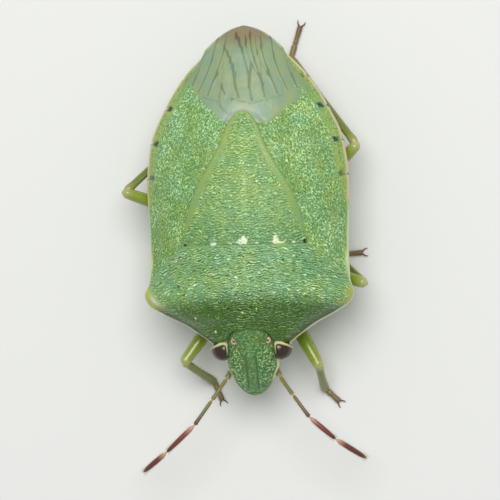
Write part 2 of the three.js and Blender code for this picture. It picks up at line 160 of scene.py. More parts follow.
@dataclass(frozen=True)
class Sculpture:
    """The fine sculpture of the shell: short wavy ridges with pits between them.

    A ridge is about length long and they are width apart, bent along arcs by bow and turned by slant. height
    is how far a ridge stands up, and pit_share how deep a pit is for that. broken is how far the ridges are
    cut into short strokes.
    """

    length: float
    width: float
    height: float
    seed: int
    bow: float = 0.0
    broken: float = 0.5
    slant: float = 0.0
    pit_share: float = 0.8

    def at(self, x: Array, y: Array) -> tuple[Array, Array]:
        """Ridges and pits at a place on the body.

        Args:
            x: Distance from the middle line.
            y: Station along the body.

        Returns:
            Two masks from 0 to 1, the crests and the troughs of a wave across the ridges, whose phase is bent
            by noise until the crests fork and end, and whose strength comes and goes with more noise.
        """
        turn = self.slant * np.sign(x)
        u = (x * np.cos(turn) + y * np.sin(turn)) / self.length
        v = (y * np.cos(turn) - x * np.sin(turn) + self.bow * x * x) / self.width
        broad, close = drift(u, v * 0.45, self.seed + 11), drift(1.9 * u + 9, v * 1.05, self.seed + 12)
        wave = np.cos(2 * math.pi * (v + 0.5 * broad + 0.5 * close))
        strength = smooth(drift(u * 1.3, v * 0.9, self.seed + 13), -0.3, 0.5)
        patch = smooth(drift(x / 0.36, y / 0.28, self.seed + 14), -0.6, 0.5)
        kept = 1 - self.broken * (1 - strength * (0.5 + 0.5 * patch))
        gaps = smooth(drift(u * 1.4 + 30, v * 0.9, self.seed + 15), -0.2, 0.6)
        depth = 1 - 0.7 * self.broken * gaps
        return smooth(wave, -0.1, 0.8) * kept, smooth(-wave, 0.0, 0.9) * depth

    def lift(self, ridge: Array, pit: Array) -> Array:
        """How far the surface stands up: height (ridge - pit_share pit)."""
        return self.height * (ridge - self.pit_share * pit)


def relief_mask(ridge: Array, pit: Array, calm: Array) -> Array:
    """The mask that colours follow: a half on even ground, up to 1 on ridges and down to 0 in pits."""
    return 0.5 + 0.5 * calm * (ridge - pit)


@dataclass(frozen=True)
class BodyForm:
    """The body's outline in plan and its heights, from which every plate is made."""

    half_width: Curve = Curve(
        (
            (-5.45, 1.62), (-5.1, 2.08), (-4.67, 2.7), (-4.2, 3.58), (-3.8, 4.14), (-3.4, 4.3), (-2.9, 4.13),
            (-1.4, 4.08), (1.0, 4.17), (2.7, 4.0), (4.2, 3.38), (5.5, 2.55), (6.5, 1.6), (7.2, 0.8),
            (7.5, 0.15),
        )
    )
    back_height: Curve = Curve(
        (
            (-5.5, 4.2), (-4.85, 4.72), (-3.9, 5.4), (-2.6, 5.8), (-1.2, 5.9), (1.0, 5.8), (4.0, 5.1),
            (5.5, 4.65), (7.5, 4.0),
        )
    )
    edge_height: Curve = Curve(
        ((-5.5, 3.45), (-4.4, 3.75), (-3.4, 4.05), (-2.5, 3.75), (0.0, 3.55), (5.0, 3.5), (7.5, 3.7))
    )
    belly_height: Curve = Curve(
        (
            (-5.5, 2.3), (-4.5, 1.95), (-3.0, 1.6), (-1.0, 1.45), (2.0, 1.4), (4.0, 1.5), (5.5, 1.85),
            (6.4, 2.35), (7.5, 3.0),
        )
    )
    edge_thickness: float = 0.35

    def back(self, x: Array, y: Array) -> Array:
        """Height of the back.

        Args:
            x: Distance from the middle line.
            y: Station along the body.

        Returns:
            edge + (middle - edge) (1 - share^2.4)^0.9, with share the way out to the side.
        """
        share = np.clip(np.abs(x) / self.half_width(y), 0, 1)
        edge = self.edge_height(y)
        return edge + (self.back_height(y) - edge) * (1 - share**2.4) ** 0.9

    def belly(self, x: Array, y: Array) -> Array:
        """Height of the belly, a keel under the middle line that rises to just below the side edge.

        Args:
            x: Distance from the middle line.
            y: Station along the body.

        Returns:
            rim - (rim - middle) (1 - share^1.1), with share the way out to the side.
        """
        share = np.clip(np.abs(x) / self.half_width(y), 0, 1)
        rim = self.edge_height(y) - self.edge_thickness
        return rim - (rim - self.belly_height(y)) * (1 - share**1.1)


FORM = BodyForm()


def close_to_ends(start: float, end: float, count: int, tight: float = 0.6) -> Array:
    """Values that crowd at both ends, a mix of even steps and of the half cosine (1 - cos(pi t)) / 2."""
    t = np.linspace(0, 1, count + 1)
    return start + (end - start) * blend(t, (1 - np.cos(math.pi * t)) / 2, tight)


def rounded(distance: Array, radius: float) -> Array:
    """How far an edge of that radius has dropped at a distance in from it: a quarter circle."""
    t = 1 - np.clip(distance / radius, 0, 1)
    return radius * (1 - np.sqrt(1 - t * t))


def grid_faces(rows: int, columns: int, around: bool = False) -> Array:
    """Quads over a grid of vertices stored row by row.

    Args:
        rows: Rows of vertices.
        columns: Vertices in a row.
        around: Whether each row closes on itself.

    Returns:
        An array of four indices to a face.
    """
    j = np.arange(columns if around else columns - 1)
    i = np.arange(rows - 1)[:, None]
    a = i * columns + j
    b = i * columns + (j + 1) % columns
    return np.stack((a, b, b + columns, a + columns), -1).reshape(-1, 4)


@dataclass
class Surface:
    """Vertices, faces and masks of a piece before it becomes a mesh."""

    points: Array
    quads: Array
    masks: Masks = field(default_factory=dict)
    triangles: Array = field(default_factory=lambda: np.zeros((0, 3), int))

    def joined(self, *others: "Surface") -> "Surface":
        """This surface and others as closed shells of one piece.

        Args:
            others: The surfaces to add. A mask that only some of them have is 0 on the rest.

        Returns:
            The surface that holds them all.
        """
        parts = (self, *others)
        firsts = np.cumsum([0] + [len(part.points) for part in parts[:-1]])
        masks = {
            key: np.concatenate([part.masks.get(key, np.zeros(len(part.points))) for part in parts])
            for key in {key: None for part in parts for key in part.masks}
        }
        return Surface(
            np.concatenate([part.points for part in parts]),
            np.concatenate([part.quads + first for part, first in zip(parts, firsts)]),
            masks,
            np.concatenate([part.triangles + first for part, first in zip(parts, firsts)]),
        )

    def outward(self) -> "Surface":
        """Turns the faces outwards.

        Returns:
            The surface, with its faces turned round where the volume that they enclose is negative.
        """
        p = self.points - self.points.mean(0)
        halves = np.concatenate((self.quads[:, [0, 1, 2]], self.quads[:, [0, 2, 3]], self.triangles))
        a, b, c = p[halves[:, 0]], p[halves[:, 1]], p[halves[:, 2]]
        if np.einsum("ij,ij->i", a, np.cross(b, c)).sum() < 0:
            return Surface(self.points, self.quads[:, ::-1], self.masks, self.triangles[:, ::-1])
        return self

    def piece(self, name: str, material: bpy.types.Material, slot: str, *nodes: str) -> bpy.types.Object:
        """Makes the Blender object, puts it in the frame and says what it stands for.

        Args:
            name: The object's name.
            material: Its finish.
            slot: The record's material slot. Not used.
            nodes: The solids that it replaces.

        Returns:
            The new object.
        """
        mesh = bpy.data.meshes.new(name)
        loops = np.concatenate((self.quads.ravel(), self.triangles.ravel())).astype(np.int32)
        sizes = np.concatenate((np.full(len(self.quads), 4), np.full(len(self.triangles), 3)))
        starts = np.concatenate(([0], np.cumsum(sizes)[:-1])).astype(np.int32)
        places = ((self.points + BODY_MIDDLE) * MILLIMETRE).astype(np.float32)
        mesh.vertices.add(len(self.points))
        mesh.vertices.foreach_set("co", places.ravel())
        mesh.loops.add(len(loops))
        mesh.loops.foreach_set("vertex_index", loops)
        mesh.polygons.add(len(sizes))
        mesh.polygons.foreach_set("loop_start", starts)
        mesh.polygons.foreach_set("use_smooth", np.ones(len(sizes), bool))
        mesh.update(calc_edges=True)
        mesh.validate()
        for key, values in self.masks.items():
            attribute = mesh.attributes.new(key, "FLOAT", "POINT")
            attribute.data.foreach_set("value", values.astype(np.float32))
        made = bpy.data.objects.new(name, mesh)
        bpy.context.scene.collection.objects.link(made)
        mesh.materials.append(material)
        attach(made, "root")
        if nodes:
            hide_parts(*nodes)
        LOG.info("%s: %d vertices, for %s", name, len(self.points), ", ".join(nodes) or "no node")
        return made


def rim_of(rows: int, columns: int) -> tuple[Array, Array]:
    """Finds a grid's outermost vertices.

    Args:
        rows: Rows of vertices.
        columns: Vertices in a row.

    Returns:
        Their rows and their columns, once round.
    """
    index = np.arange(rows * columns).reshape(rows, columns)
    sides = (index[0, :-1], index[:-1, -1], index[-1, :0:-1], index[:0:-1, 0])
    return np.divmod(np.concatenate(sides), columns)


def plate(x: Array, y: Array, top: Array, bottom: Array, masks: Masks) -> Surface:
    """A closed plate that is only seen from above, with few faces below.

    Args:
        x: Places of the grid's vertices, rows by columns.
        y: Their stations along the body.
        top: Heights of the upper face.
        bottom: Heights of the lower face, of which the plate keeps the rim and rings that shrink inside it.
        masks: Values of the upper face, which the lower face repeats.

    Returns:
        The upper grid, the wall round it and a lower face of rings that shrink to a pole.
    """
    upper, lower = (np.stack(np.broadcast_arrays(x, y, z), -1) for z in (top, bottom))
    rows, columns = upper.shape[:2]
    count = rows * columns
    row, column = rim_of(rows, columns)
    spread = {key: np.broadcast_to(value, (rows, columns)) for key, value in masks.items()}
    levels, kept = [upper.reshape(-1, 3)], {key: [value.ravel()] for key, value in spread.items()}
    shrinking = (1.0, 0.96, 0.88, 0.7, 0.42, 0.0)
    for share in shrinking:
        i = np.rint((row - rows // 2) * share).astype(int) + rows // 2
        j = np.rint((column - columns // 2) * share).astype(int) + columns // 2
        i, j = (i, j) if share else (i[:1], j[:1])
        levels.append(lower[i, j])
        for key, value in spread.items():
            kept[key].append(value[i, j])
    size, steps = len(row), len(shrinking) - 2
    k = np.arange(size)
    after = (k + 1) % size
    rim = row * columns + column
    wall = np.stack((rim, k + count, after + count, np.roll(rim, -1)), -1)
    ring = np.stack((k, k + size, after + size, after), -1) + count
    last = count + size * steps
    pole = np.stack((k + last, np.full(size, last + size), after + last), -1)
    both = {key: np.concatenate(value) for key, value in kept.items()}
    quads = np.concatenate((grid_faces(rows, columns), wall, *(ring + size * step for step in range(steps))))
    return Surface(np.concatenate(levels), quads, both, pole).outward()


def hull(x: Array, y: Array, top: Array, bottom: Array, above: Masks, below: Masks) -> Surface:
    """A closed body with as many faces below as above.

    Args:
        x: Places of the grid's vertices, rows by columns.
        y: Their stations along the body.
        top: Heights of the upper face.
        bottom: Heights of the lower face.
        above: Values of the upper face.
        below: Values of the lower face, for the same names.

    Returns:
        Both faces and the wall round their four edges.
    """
    points = np.concatenate([np.stack((x, y, z), -1).reshape(-1, 3) for z in (top, bottom)])
    shape = x.shape
    count = x.size
    faces = grid_faces(*shape)
    row, column = rim_of(*shape)
    rim = row * shape[1] + column
    after = np.roll(rim, -1)
    wall = np.stack((rim, rim + count, after + count, after), -1)
    both = {
        key: np.concatenate([np.broadcast_to(side[key], shape).ravel() for side in (above, below)])
        for key in above
    }
    return Surface(points, np.concatenate((faces, faces[:, ::-1] + count, wall)), both).outward()


def tube(rings: Array, masks: Masks | None = None) -> Surface:
    """A closed skin over rings of points, with a pole at each end.

    Args:
        rings: Rings by sides by 3.
        masks: Values by ring and side.

    Returns:
        The skin, whose end rings are closed by a fan of triangles round their middle.
    """
    count, sides = rings.shape[:2]
    points = np.concatenate((rings.reshape(-1, 3), rings[0].mean(0)[None], rings[-1].mean(0)[None]))
    k = np.arange(sides)
    after = (k + 1) % sides
    last = (count - 1) * sides
    start = np.stack((np.full(sides, count * sides), after, k), -1)
    end = np.stack((np.full(sides, count * sides + 1), last + k, last + after), -1)
    both = {}
    for key, value in (masks or {}).items():
        spread = np.broadcast_to(value, (count, sides))
        both[key] = np.concatenate((spread.ravel(), [spread[0].mean(), spread[-1].mean()]))
    poles = np.concatenate((start, end))
    return Surface(points, grid_faces(count, sides, around=True), both, poles).outward()


@dataclass(frozen=True)
class Path:
    """A path in space and the turn of a cross-section carried along it."""

    points: Array
    up: Point = (0.05, 0.03, 1.0)

    def rings(self, wide: Array, high: Array, sides: int, factor: Array | float = 1.0) -> Array:
        """Rings of an oval section.

        Args:
            wide: Half the width across the path at each point.
            high: Half the height at each point.
            sides: Points in a ring.
            factor: What the section is scaled by, at each ring and side.

        Returns:
            point + factor (wide cos across + high sin over) for angles all round. across is square to the
            path and to the up direction, and over is square to the path and to across.
        """
        along = unit(np.gradient(self.points, axis=0))
        across = unit(np.cross(along, np.array(self.up)))
        over = np.cross(across, along)
        turn = np.linspace(0, 2 * math.pi, sides, endpoint=False)
        sideways = (wide[:, None] * np.cos(turn))[..., None] * across[:, None]
        upwards = (high[:, None] * np.sin(turn))[..., None] * over[:, None]
        return self.points[:, None] + (sideways + upwards) * np.asarray(factor)[..., None]


def smooth_path(knots: Array, count: int) -> Array:
    """Points evenly spaced in parameter on a Catmull-Rom curve through knots.

    Args:
        knots: The points that it passes through.
        count: Points to give.

    Returns:
        The curve's points, whose tangent at a knot is half the step between that knot's neighbours.
    """
    padded = np.concatenate(([2 * knots[0] - knots[1]], knots, [2 * knots[-1] - knots[-2]]))
    t = np.linspace(0, len(knots) - 1, count)
    i = np.clip(t.astype(int), 0, len(knots) - 2)
    f = (t - i)[:, None]
    a, b, c, d = padded[i], padded[i + 1], padded[i + 2], padded[i + 3]
    return 0.5 * (2 * b + (c - a) * f + (2 * a - 5 * b + 4 * c - d) * f**2 + (3 * b - a - 3 * c + d) * f**3)


def arched(start: Array, end: Array, t: Array, height: float) -> Array:
    """Points at shares t of a line that is lifted by height sin(pi t) above start + (end - start) t."""
    share = t[:, None]
    return start + (end - start) * share + height * np.sin(math.pi * share) * UP


def globe(centre: Array, half: Point, lift: Array, sides: int) -> Array:
    """Rings of points round an oval bead.

    Args:
        centre: Its middle.
        half: Its half sizes along x, y and z.
        lift: The rings' latitudes.
        sides: Points in a ring.

    Returns:
        centre + half (cos lift cos turn, cos lift sin turn, sin lift), for turns all round.
    """
    turn = np.linspace(0, 2 * math.pi, sides, endpoint=False)
    level = np.cos(lift)[:, None]
    around = np.stack((level * np.cos(turn), level * np.sin(turn), np.sin(lift)[:, None] + 0 * turn), -1)
    return np.asarray(centre) + np.array(half) * around


def spiral(start: Array, end: Array, count: int) -> tuple[Array, Array]:
    """Directions that hairs take out of a rod.

    Args:
        start: Where the rod begins.
        end: Where it ends.
        count: How many hairs stand along it.

    Returns:
        The rod's unit direction, and a unit vector out of it for each hair, turned on by the golden angle.
    """
    axis = unit(end - start)
    side = unit(np.cross(axis, UP))
    turn = (np.arange(count) * GOLDEN_ANGLE)[:, None]
    return axis, np.cos(turn) * side + np.sin(turn) * np.cross(side, axis)


def bristles(roots: Array, directions: Array, length: Array, radius: float, station: float) -> Surface:
    """Fine hairs as slim three-sided cones.

    Args:
        roots: Where each stands.
        directions: Vectors along each, of any length.
        length: How long each is.
        radius: Half its width at the root.
        station: The value of their station mask.

    Returns:
        All the cones as one surface, each a triangle round its sunk root that meets at the tip.
    """
    along = unit(directions)
    helper = np.where(np.abs(along[:, 2:]) > 0.9, [[1.0, 0, 0]], [[0, 0, 1.0]])
    side = unit(np.cross(along, helper))
    turn = np.arange(3)[:, None] * 2 * math.pi / 3
    around = np.cos(turn) * side[:, None] + np.sin(turn) * np.cross(along, side)[:, None]
    base = roots[:, None] + radius * around
    tip = roots + along * length[:, None]
    points = np.concatenate((base, tip[:, None]), 1).reshape(-1, 3)
    first = 4 * np.arange(len(roots))[:, None, None]
    corners = np.array([[0, 1, 3], [1, 2, 3], [2, 0, 3], [0, 2, 1]])
    masks = {"station": np.full(len(points), station)}
    return Surface(points, np.zeros((0, 4), int), masks, (first + corners).reshape(-1, 3)).outward()


@dataclass(frozen=True)
class Marking:
    """A spot on the back: its place, its half sizes and how far its rim is ragged."""

    x: float
    y: float
    half_x: float
    half_y: float
    ragged: float = 0.0

    def mask(self, x: Array, y: Array) -> Array:
        """1 inside the spot and 0 outside, by the ellipse's radius with noise added to it."""
        radius = np.hypot((x - self.x) / self.half_x, (y - self.y) / self.half_y)
        return 1 - smooth(radius + self.ragged * drift(x / 0.09, y / 0.06, 71), 0.75, 1.15)


def all_marks(marks: tuple[Marking, ...], x: Array, y: Array) -> Array:
    """The strongest of several spots' masks."""
    return np.max([mark.mask(x, y) for mark in marks], axis=0)


@dataclass(frozen=True)
class Bell:
    """A soft swelling: its middle, its half sizes and its height."""

    x: float
    y: float
    half_x: float
    half_y: float
    height: float = 1.0

    def at(self, x: Array, y: Array) -> Array:
        """The height times a bell along x and one along y."""
        return self.height * bump_at(x, self.x, self.half_x) * bump_at(y, self.y, self.half_y)


@dataclass
class Pronotum:
    """The shield behind the head, with rounded shoulders and a thin raised rim along its front sides."""

    front_corner: float = -5.55
    front: Curve = Curve(
        ((0.0, -4.9), (0.38, -4.92), (0.5, -5.06), (0.61, -5.32), (0.78, -5.41), (1.0, -5.55))
    )
    rear: float = -1.42
    notch: float = -2.85
    slant_share: float = 0.6
    wall: float = 0.13
    thickness: float = 0.4
    rim_height: float = 0.042
    rows: int = 225
    columns: int = 360
    sculpture: Sculpture = Sculpture(0.2, 0.1, 0.034, 5, bow=0.045, broken=0.9)
    knob: Bell = Bell(0.24, -3.5, 0.2, 0.36)
    knob_height: float = 0.1
    scar: Bell = Bell(1.25, -4.35, 0.55, 0.16, 0.06)
    hollow: Bell = Bell(0.0, -4.75, 3.0, 0.2, -0.05)
    # A painted highlight: the glint on the right shoulder's knob, painted as a pale streak.
    painted_highlight: Bell = Bell(0.27, -3.62, 0.085, 0.2, 0.9)
    pale_dots: tuple[Marking, ...] = (
        Marking(-1.38, -4.93, 0.05, 0.05), Marking(-0.16, -4.15, 0.05, 0.045),
        Marking(0.42, -4.0, 0.04, 0.03), Marking(-2.15, -4.35, 0.045, 0.04),
    )
    dark_dots: tuple[Marking, ...] = (
        Marking(-2.75, -3.05, 0.05, 0.04), Marking(-0.38, -3.4, 0.055, 0.05), Marking(-2.3, -3.0, 0.03, 0.03),
    )

    def build(self, finish: bpy.types.Material) -> bpy.types.Object:
        """Makes the shield. Its rows run from the hollow front edge to the rear edge, and its columns across.

        Args:
            finish: The material.

        Returns:
            The piece.
        """
        across = close_to_ends(-1, 1, self.columns, 0.35)[None, :]
        along = close_to_ends(0, 1, self.rows, 0.35)[:, None]
        share = np.abs(across)
        slant = np.clip((share - self.slant_share) / (1 - self.slant_share), 0, 1)
        front, rear = self.front(share), blend(self.rear, self.notch, slant**1.15)
        y = blend(front, rear, along)
        half = FORM.half_width(blend(self.front_corner, self.notch, along))
        x, side = across * half, (1 - share) * half
        from_front, from_rear = along * (rear - front), (1 - along) * (rear - front)
        ridge, pit = self.sculpture.at(x, y)
        knob = self.knob.at(side, y)
        polished = 0.85 * smooth(knob, 0.3, 0.8) * (x < 0)
        calm = smooth(side, 0.0, 0.22) * smooth(from_rear, 0.0, 0.12) * smooth(from_front, 0.0, 0.1)
        calm = calm * (1 - polished)
        beside_head = smooth(y, -3.1, -3.6)
        raised = self.rim_height * bump_at(side, 0.05, 0.06) * beside_head
        gutter = 0.035 * bump_at(side, 0.2, 0.1) * beside_head
        fold = 0.03 * bump_at(from_rear, 0.1, 0.07) * (1 - slant)
        swell = self.scar.at(np.abs(x), y) + self.hollow.at(x, y) + self.knob_height * knob
        edge = rounded(side, 0.09) + rounded(from_front, 0.1) + 0.7 * rounded(from_rear, 0.08)
        back = FORM.back(x, y)
        top = back + swell + self.sculpture.lift(ridge, pit) * calm + raised - gutter - fold - edge
        inset = smooth(np.minimum(side, np.minimum(from_front, from_rear)), 0.0, 0.3)
        bottom = back - blend(self.wall, self.thickness, inset)
        masks = self.dress(x, y, side) | {
            "relief": relief_mask(ridge, pit, calm),
            "flecks": calm * (0.25 + 0.15 * smooth(y, -3.0, -4.2)),
        }
        return plate(x, y, top, bottom, masks).piece("pronotum_shield", finish, "shell", "pronotum")

    def dress(self, x: Array, y: Array, side: Array) -> Masks:
        """Places the colours that don't follow the ridges.

        Args:
            x: Distance from the middle line.
            y: Station along the body.
            side: Distance in from the side edge.

        Returns:
            Masks of the painted shade on the front slope, the dots, the pale rim line, the amber shoulders
            and the painted highlight on one shoulder.
        """
        brow = bump_at(side, 0.1, 0.2) * smooth(y, -2.75, -3.3) * (1 - smooth(-y, 3.75, 4.1))
        line = (1 - smooth(side, 0.02, 0.06)) * smooth(y, -2.7, -3.0) * (1 - 0.75 * brow)
        dusk = 0.7 * bump_at(side, 0.1, 0.045) * smooth(y, -3.85, -4.3)
        # Painted highlight: a pale streak laid into the ivory mask where light glints on the smooth right
        # shoulder.
        painted_highlight = self.painted_highlight.at(side, y) * (x < 0)
        return {
            # Painted shade: the tone mask darkens the front slope, which turns away from the light towards
            # the head.
            "tone": smooth(y + 0.035 * x * x, -3.05, -3.95),
            "ivory": np.max((all_marks(self.pale_dots, x, y), line, painted_highlight), axis=0),
            "dark": np.maximum(all_marks(self.dark_dots, x, y), dusk),
            "amber": brow * np.where(x < 0, 0.85, 0.35),
        }


@dataclass
class Scutellum:
    """The long triangle between the wings, drawn out to a narrow rounded tongue."""

    front: float = -1.52
    tip: float = 4.02
    wall: float = 0.12
    thickness: float = 0.3
    rows: int = 290
    columns: int = 240
    half_width: Curve = Curve(
        (
            (-1.52, 2.56), (-0.87, 2.47), (0.2, 2.2), (1.03, 1.84), (1.84, 1.37), (2.65, 0.93), (3.4, 0.64),
            (3.75, 0.43), (3.94, 0.24), (4.02, 0.03),
        )
    )
    sculpture: Sculpture = Sculpture(0.19, 0.112, 0.036, 23, bow=-0.02, broken=0.8)
    ivory: tuple[Marking, ...] = (
        Marking(-1.22, -1.36, 0.15, 0.07, 0.3), Marking(0.0, -1.26, 0.2, 0.12, 0.6),
        Marking(0.02, -1.1, 0.07, 0.1, 0.5), Marking(1.3, -1.25, 0.15, 0.14, 0.5),
        Marking(1.42, -1.36, 0.22, 0.05, 0.3), Marking(0.55, -1.34, 0.08, 0.03, 0.3),
        Marking(-0.5, -1.35, 0.06, 0.03, 0.3), Marking(2.0, -1.34, 0.07, 0.035, 0.3),
    )
    black: tuple[Marking, ...] = (Marking(-2.43, -1.4, 0.07, 0.075), Marking(2.44, -1.32, 0.075, 0.09))

    def build(self, finish: bpy.types.Material) -> bpy.types.Object:
        """Makes the plate, with a smooth band down each side and a faint pale line down its middle.

        Args:
            finish: The material.

        Returns:
            The piece.
        """
        across = close_to_ends(-1, 1, self.columns, 0.25)[None, :]
        along = 1 - (1 - np.linspace(0, 1, self.rows + 1)) ** 1.12
        y = blend(self.front, self.tip, along[:, None]) + 0 * across
        half = self.half_width(y)
        x, side = across * half, (1 - np.abs(across)) * half
        ridge, pit = self.sculpture.at(x, y)
        inner = 0.34 * smooth(y, -1.3, 0.2) * (1 - 0.55 * smooth(y, 2.2, 3.6))
        band = (1 - smooth(side, 0.7 * inner, inner + 0.06)) * smooth(y, -1.4, -0.9)
        calm = (1 - 0.75 * band) * smooth(y, self.front, self.front + 0.2)
        ivory, black = all_marks(self.ivory, x, y), all_marks(self.black, x, y)
        relief = self.sculpture.lift(ridge, pit) * calm * (1 - 0.6 * ivory)
        keel = 0.03 * bump_at(x, 0.0, 0.5) * smooth(y, -1.0, 2.5)
        tucked = 0.06 * (1 - smooth(y, self.front, self.front + 0.25))
        back = FORM.back(x, y)
        top = back + relief + keel - 0.06 * black - tucked - 0.8 * rounded(side, 0.1)
        bottom = back - blend(self.wall, self.thickness, smooth(side, 0, 0.25))
        middle = bump_at(x, 0.02, 0.16) * smooth(y, -0.9, -0.4) * (1 - smooth(y, 2.6, 3.6))
        masks = {
            "relief": np.clip(relief_mask(ridge, pit, calm) + 0.2 * middle, 0, 1),
            "flecks": 0.35 * calm,
            "tone": 1 - smooth(y, -1.6, 0.4),
            "amber": 0.8 * band * (0.75 + 0.25 * drift(x / 0.3, y / 0.5, 3)),
            "ivory": ivory,
            "dark": black,
        }
        return plate(x, y, top, bottom, masks).piece("scutellum_plate", finish, "shell", "scutellum")


@dataclass
class Wing:
    """One wing at rest: the stiff front part beside the scutellum, and the veined membrane behind it.

    overlap is how far the membrane reaches past the middle line, and over how far it lies above the other.
    """

    side: Side
    overlap: float
    over: float
    root_y: float = -1.6
    corium_inner_end: float = 3.42
    corium_tip: float = 5.35
    corium_length: float = 6.2
    shoulder: float = -3.1
    rim_width: float = 0.36
    rows: int = 330
    columns: int = 170
    wall: float = 0.2
    thickness: float = 0.32
    sculpture: Sculpture = Sculpture(0.12, 0.1, 0.032, 41, broken=0.95, slant=-0.9, pit_share=0.9)
    scutellum: Scutellum = field(default_factory=Scutellum)
    membrane_root: Curve = Curve(
        ((-0.95, 4.0), (-0.6, 3.6), (0.0, 3.7), (0.5, 3.5), (0.8, 3.2), (1.6, 3.95), (2.4, 4.7))
    )
    membrane_root_half: float = 2.35
    membrane_end_half: float = 1.62
    membrane_tip: float = 7.55
    membrane_steps: int = 150
    membrane_thickness: float = 0.03
    vein_gap: float = 0.52
    vein_half: float = 0.055
    ghost_half: float = 0.065
    vein_height: float = 0.012

    def rim(self, y: Array) -> Array:
        """Width of the abdomen's rim outside the wing, which starts at the waist and ends before the tip."""
        return self.rim_width * smooth(y, 0.0, 1.5) * (1 - smooth(y, 5.9, 6.6))

    def edge(self, y: Array) -> Array:
        """How far the wing reaches out from the middle line."""
        return FORM.half_width(y) - self.rim(y)

    def corium(self, finish: bpy.types.Material) -> bpy.types.Object:
        """Makes the stiff part. Rows run back along it and columns out from the scutellum to the side edge.

        Args:
            finish: The material.

        Returns:
            The piece.
        """
        u = close_to_ends(0, 1, self.columns, 0.3)[None, :]
        v = np.linspace(0, 1, self.rows + 1)[:, None]
        inner_y = blend(self.root_y, self.corium_inner_end, v)
        outer_y = blend(self.shoulder, self.corium_tip, v)
        y = blend(inner_y, outer_y, u) - 0.1 * np.sin(math.pi * u) * smooth(v, 0.7, 1.0)
        inner_x = self.scutellum.half_width(inner_y) - 0.08
        width = self.edge(outer_y) - inner_x
        x = blend(inner_x, inner_x + width, u**0.97)
        inner, outer = u * width, (1 - u) * width
        body_x = self.side.value * x
        ridge, pit = self.sculpture.at(body_x, y)
        cloud = drift(body_x / 0.55, y / 0.8, 55)
        suture = bump_at(inner, 0.62 - 0.5 * v, 0.035) * (1 - smooth(v, 0.85, 1.0))
        vein = bump_at(x, inner_x + width * (0.72 - 0.12 * v), 0.09)
        vein = vein * (1 - smooth(v, 0.7, 0.85)) * smooth(v, 0.03, 0.15)
        calm = smooth(outer, 0.02, 0.16) * (1 - 0.5 * suture)
        sunk = 0.045 + 0.035 * (1 - smooth(inner, 0.0, 0.3)) + 0.1 * (1 - smooth(v, 0.0, 0.04))
        edge = rounded(outer, 0.12) + 0.5 * rounded((1 - v) * self.corium_length, 0.07)
        back = FORM.back(x, y)
        top = back + self.sculpture.lift(ridge, pit) * calm + 0.035 * (vein - suture) - sunk - edge
        bottom = back - blend(self.wall, self.thickness, smooth(outer, 0, 0.3))
        line = (1 - smooth(outer, 0.03, 0.08)) * (1 - smooth(y, 0.3, 1.2))
        waist = bump_at(y, -2.15, 0.42) * (1 - smooth(outer, 0.1, 0.2))
        masks = {
            "relief": np.clip(relief_mask(ridge, pit, calm) + 0.12 * cloud, 0, 1),
            "flecks": 0.8 * calm * (0.8 + 0.2 * cloud),
            "tone": 0.5 + 0.5 * cloud,
            "amber": np.clip(0.55 * (1 - smooth(inner, 0.06, 0.2)) + 0.35 * vein + 0.3 * suture, 0, 1),
            "ivory": np.clip(line + waist, 0, 1),
        }
        name = self.side.word
        return plate(body_x, y, top, bottom, masks).piece(f"corium_{name}", finish, "wing", f"wing_{name}")

    def veins(self, x: Array, y: Array, half: float) -> Array:
        """The membrane's branching veins.

        Args:
            x: Distance out from the middle line on this wing's own side.
            y: Station along the body.
            half: Half the width of a vein.

        Returns:
            A mask from 0 to 1 along each vein. They leave a cross vein near the root, lean in towards the tip
            of the body and every other one forks.
        """
        reach = np.clip((y - 4.2) / 3.3, 0, 1)
        lean = reach * (0.7 + 0.45 * np.abs(x))
        place = (x + lean + 0.05 * np.sin(3 * y + 2 * x)) / self.vein_gap
        number = np.floor(place)
        past = place - number - 0.5
        start = 4.25 + 0.3 * np.abs(x - 0.4)
        main = bump_at((place - np.round(place)) * self.vein_gap, 0, half) * smooth(y, start, start + 0.15)
        spread = 0.5 * (1 - smooth(y, 5.1, 6.1)) * np.sign(past)
        fork = bump_at((past - spread) * self.vein_gap, 0, half) * smooth(y, 5.0, 5.3)
        fork = fork * (hashed(number, 0 * number, 9) > 0.45)
        across = bump_at(y, start, 0.8 * half) * (1 - smooth(np.abs(x - 0.6), 1.0, 1.2))
        return np.clip(main + 0.8 * fork + 0.8 * across, 0, 1) * (1 - 0.6 * smooth(y, 7.0, 7.45))

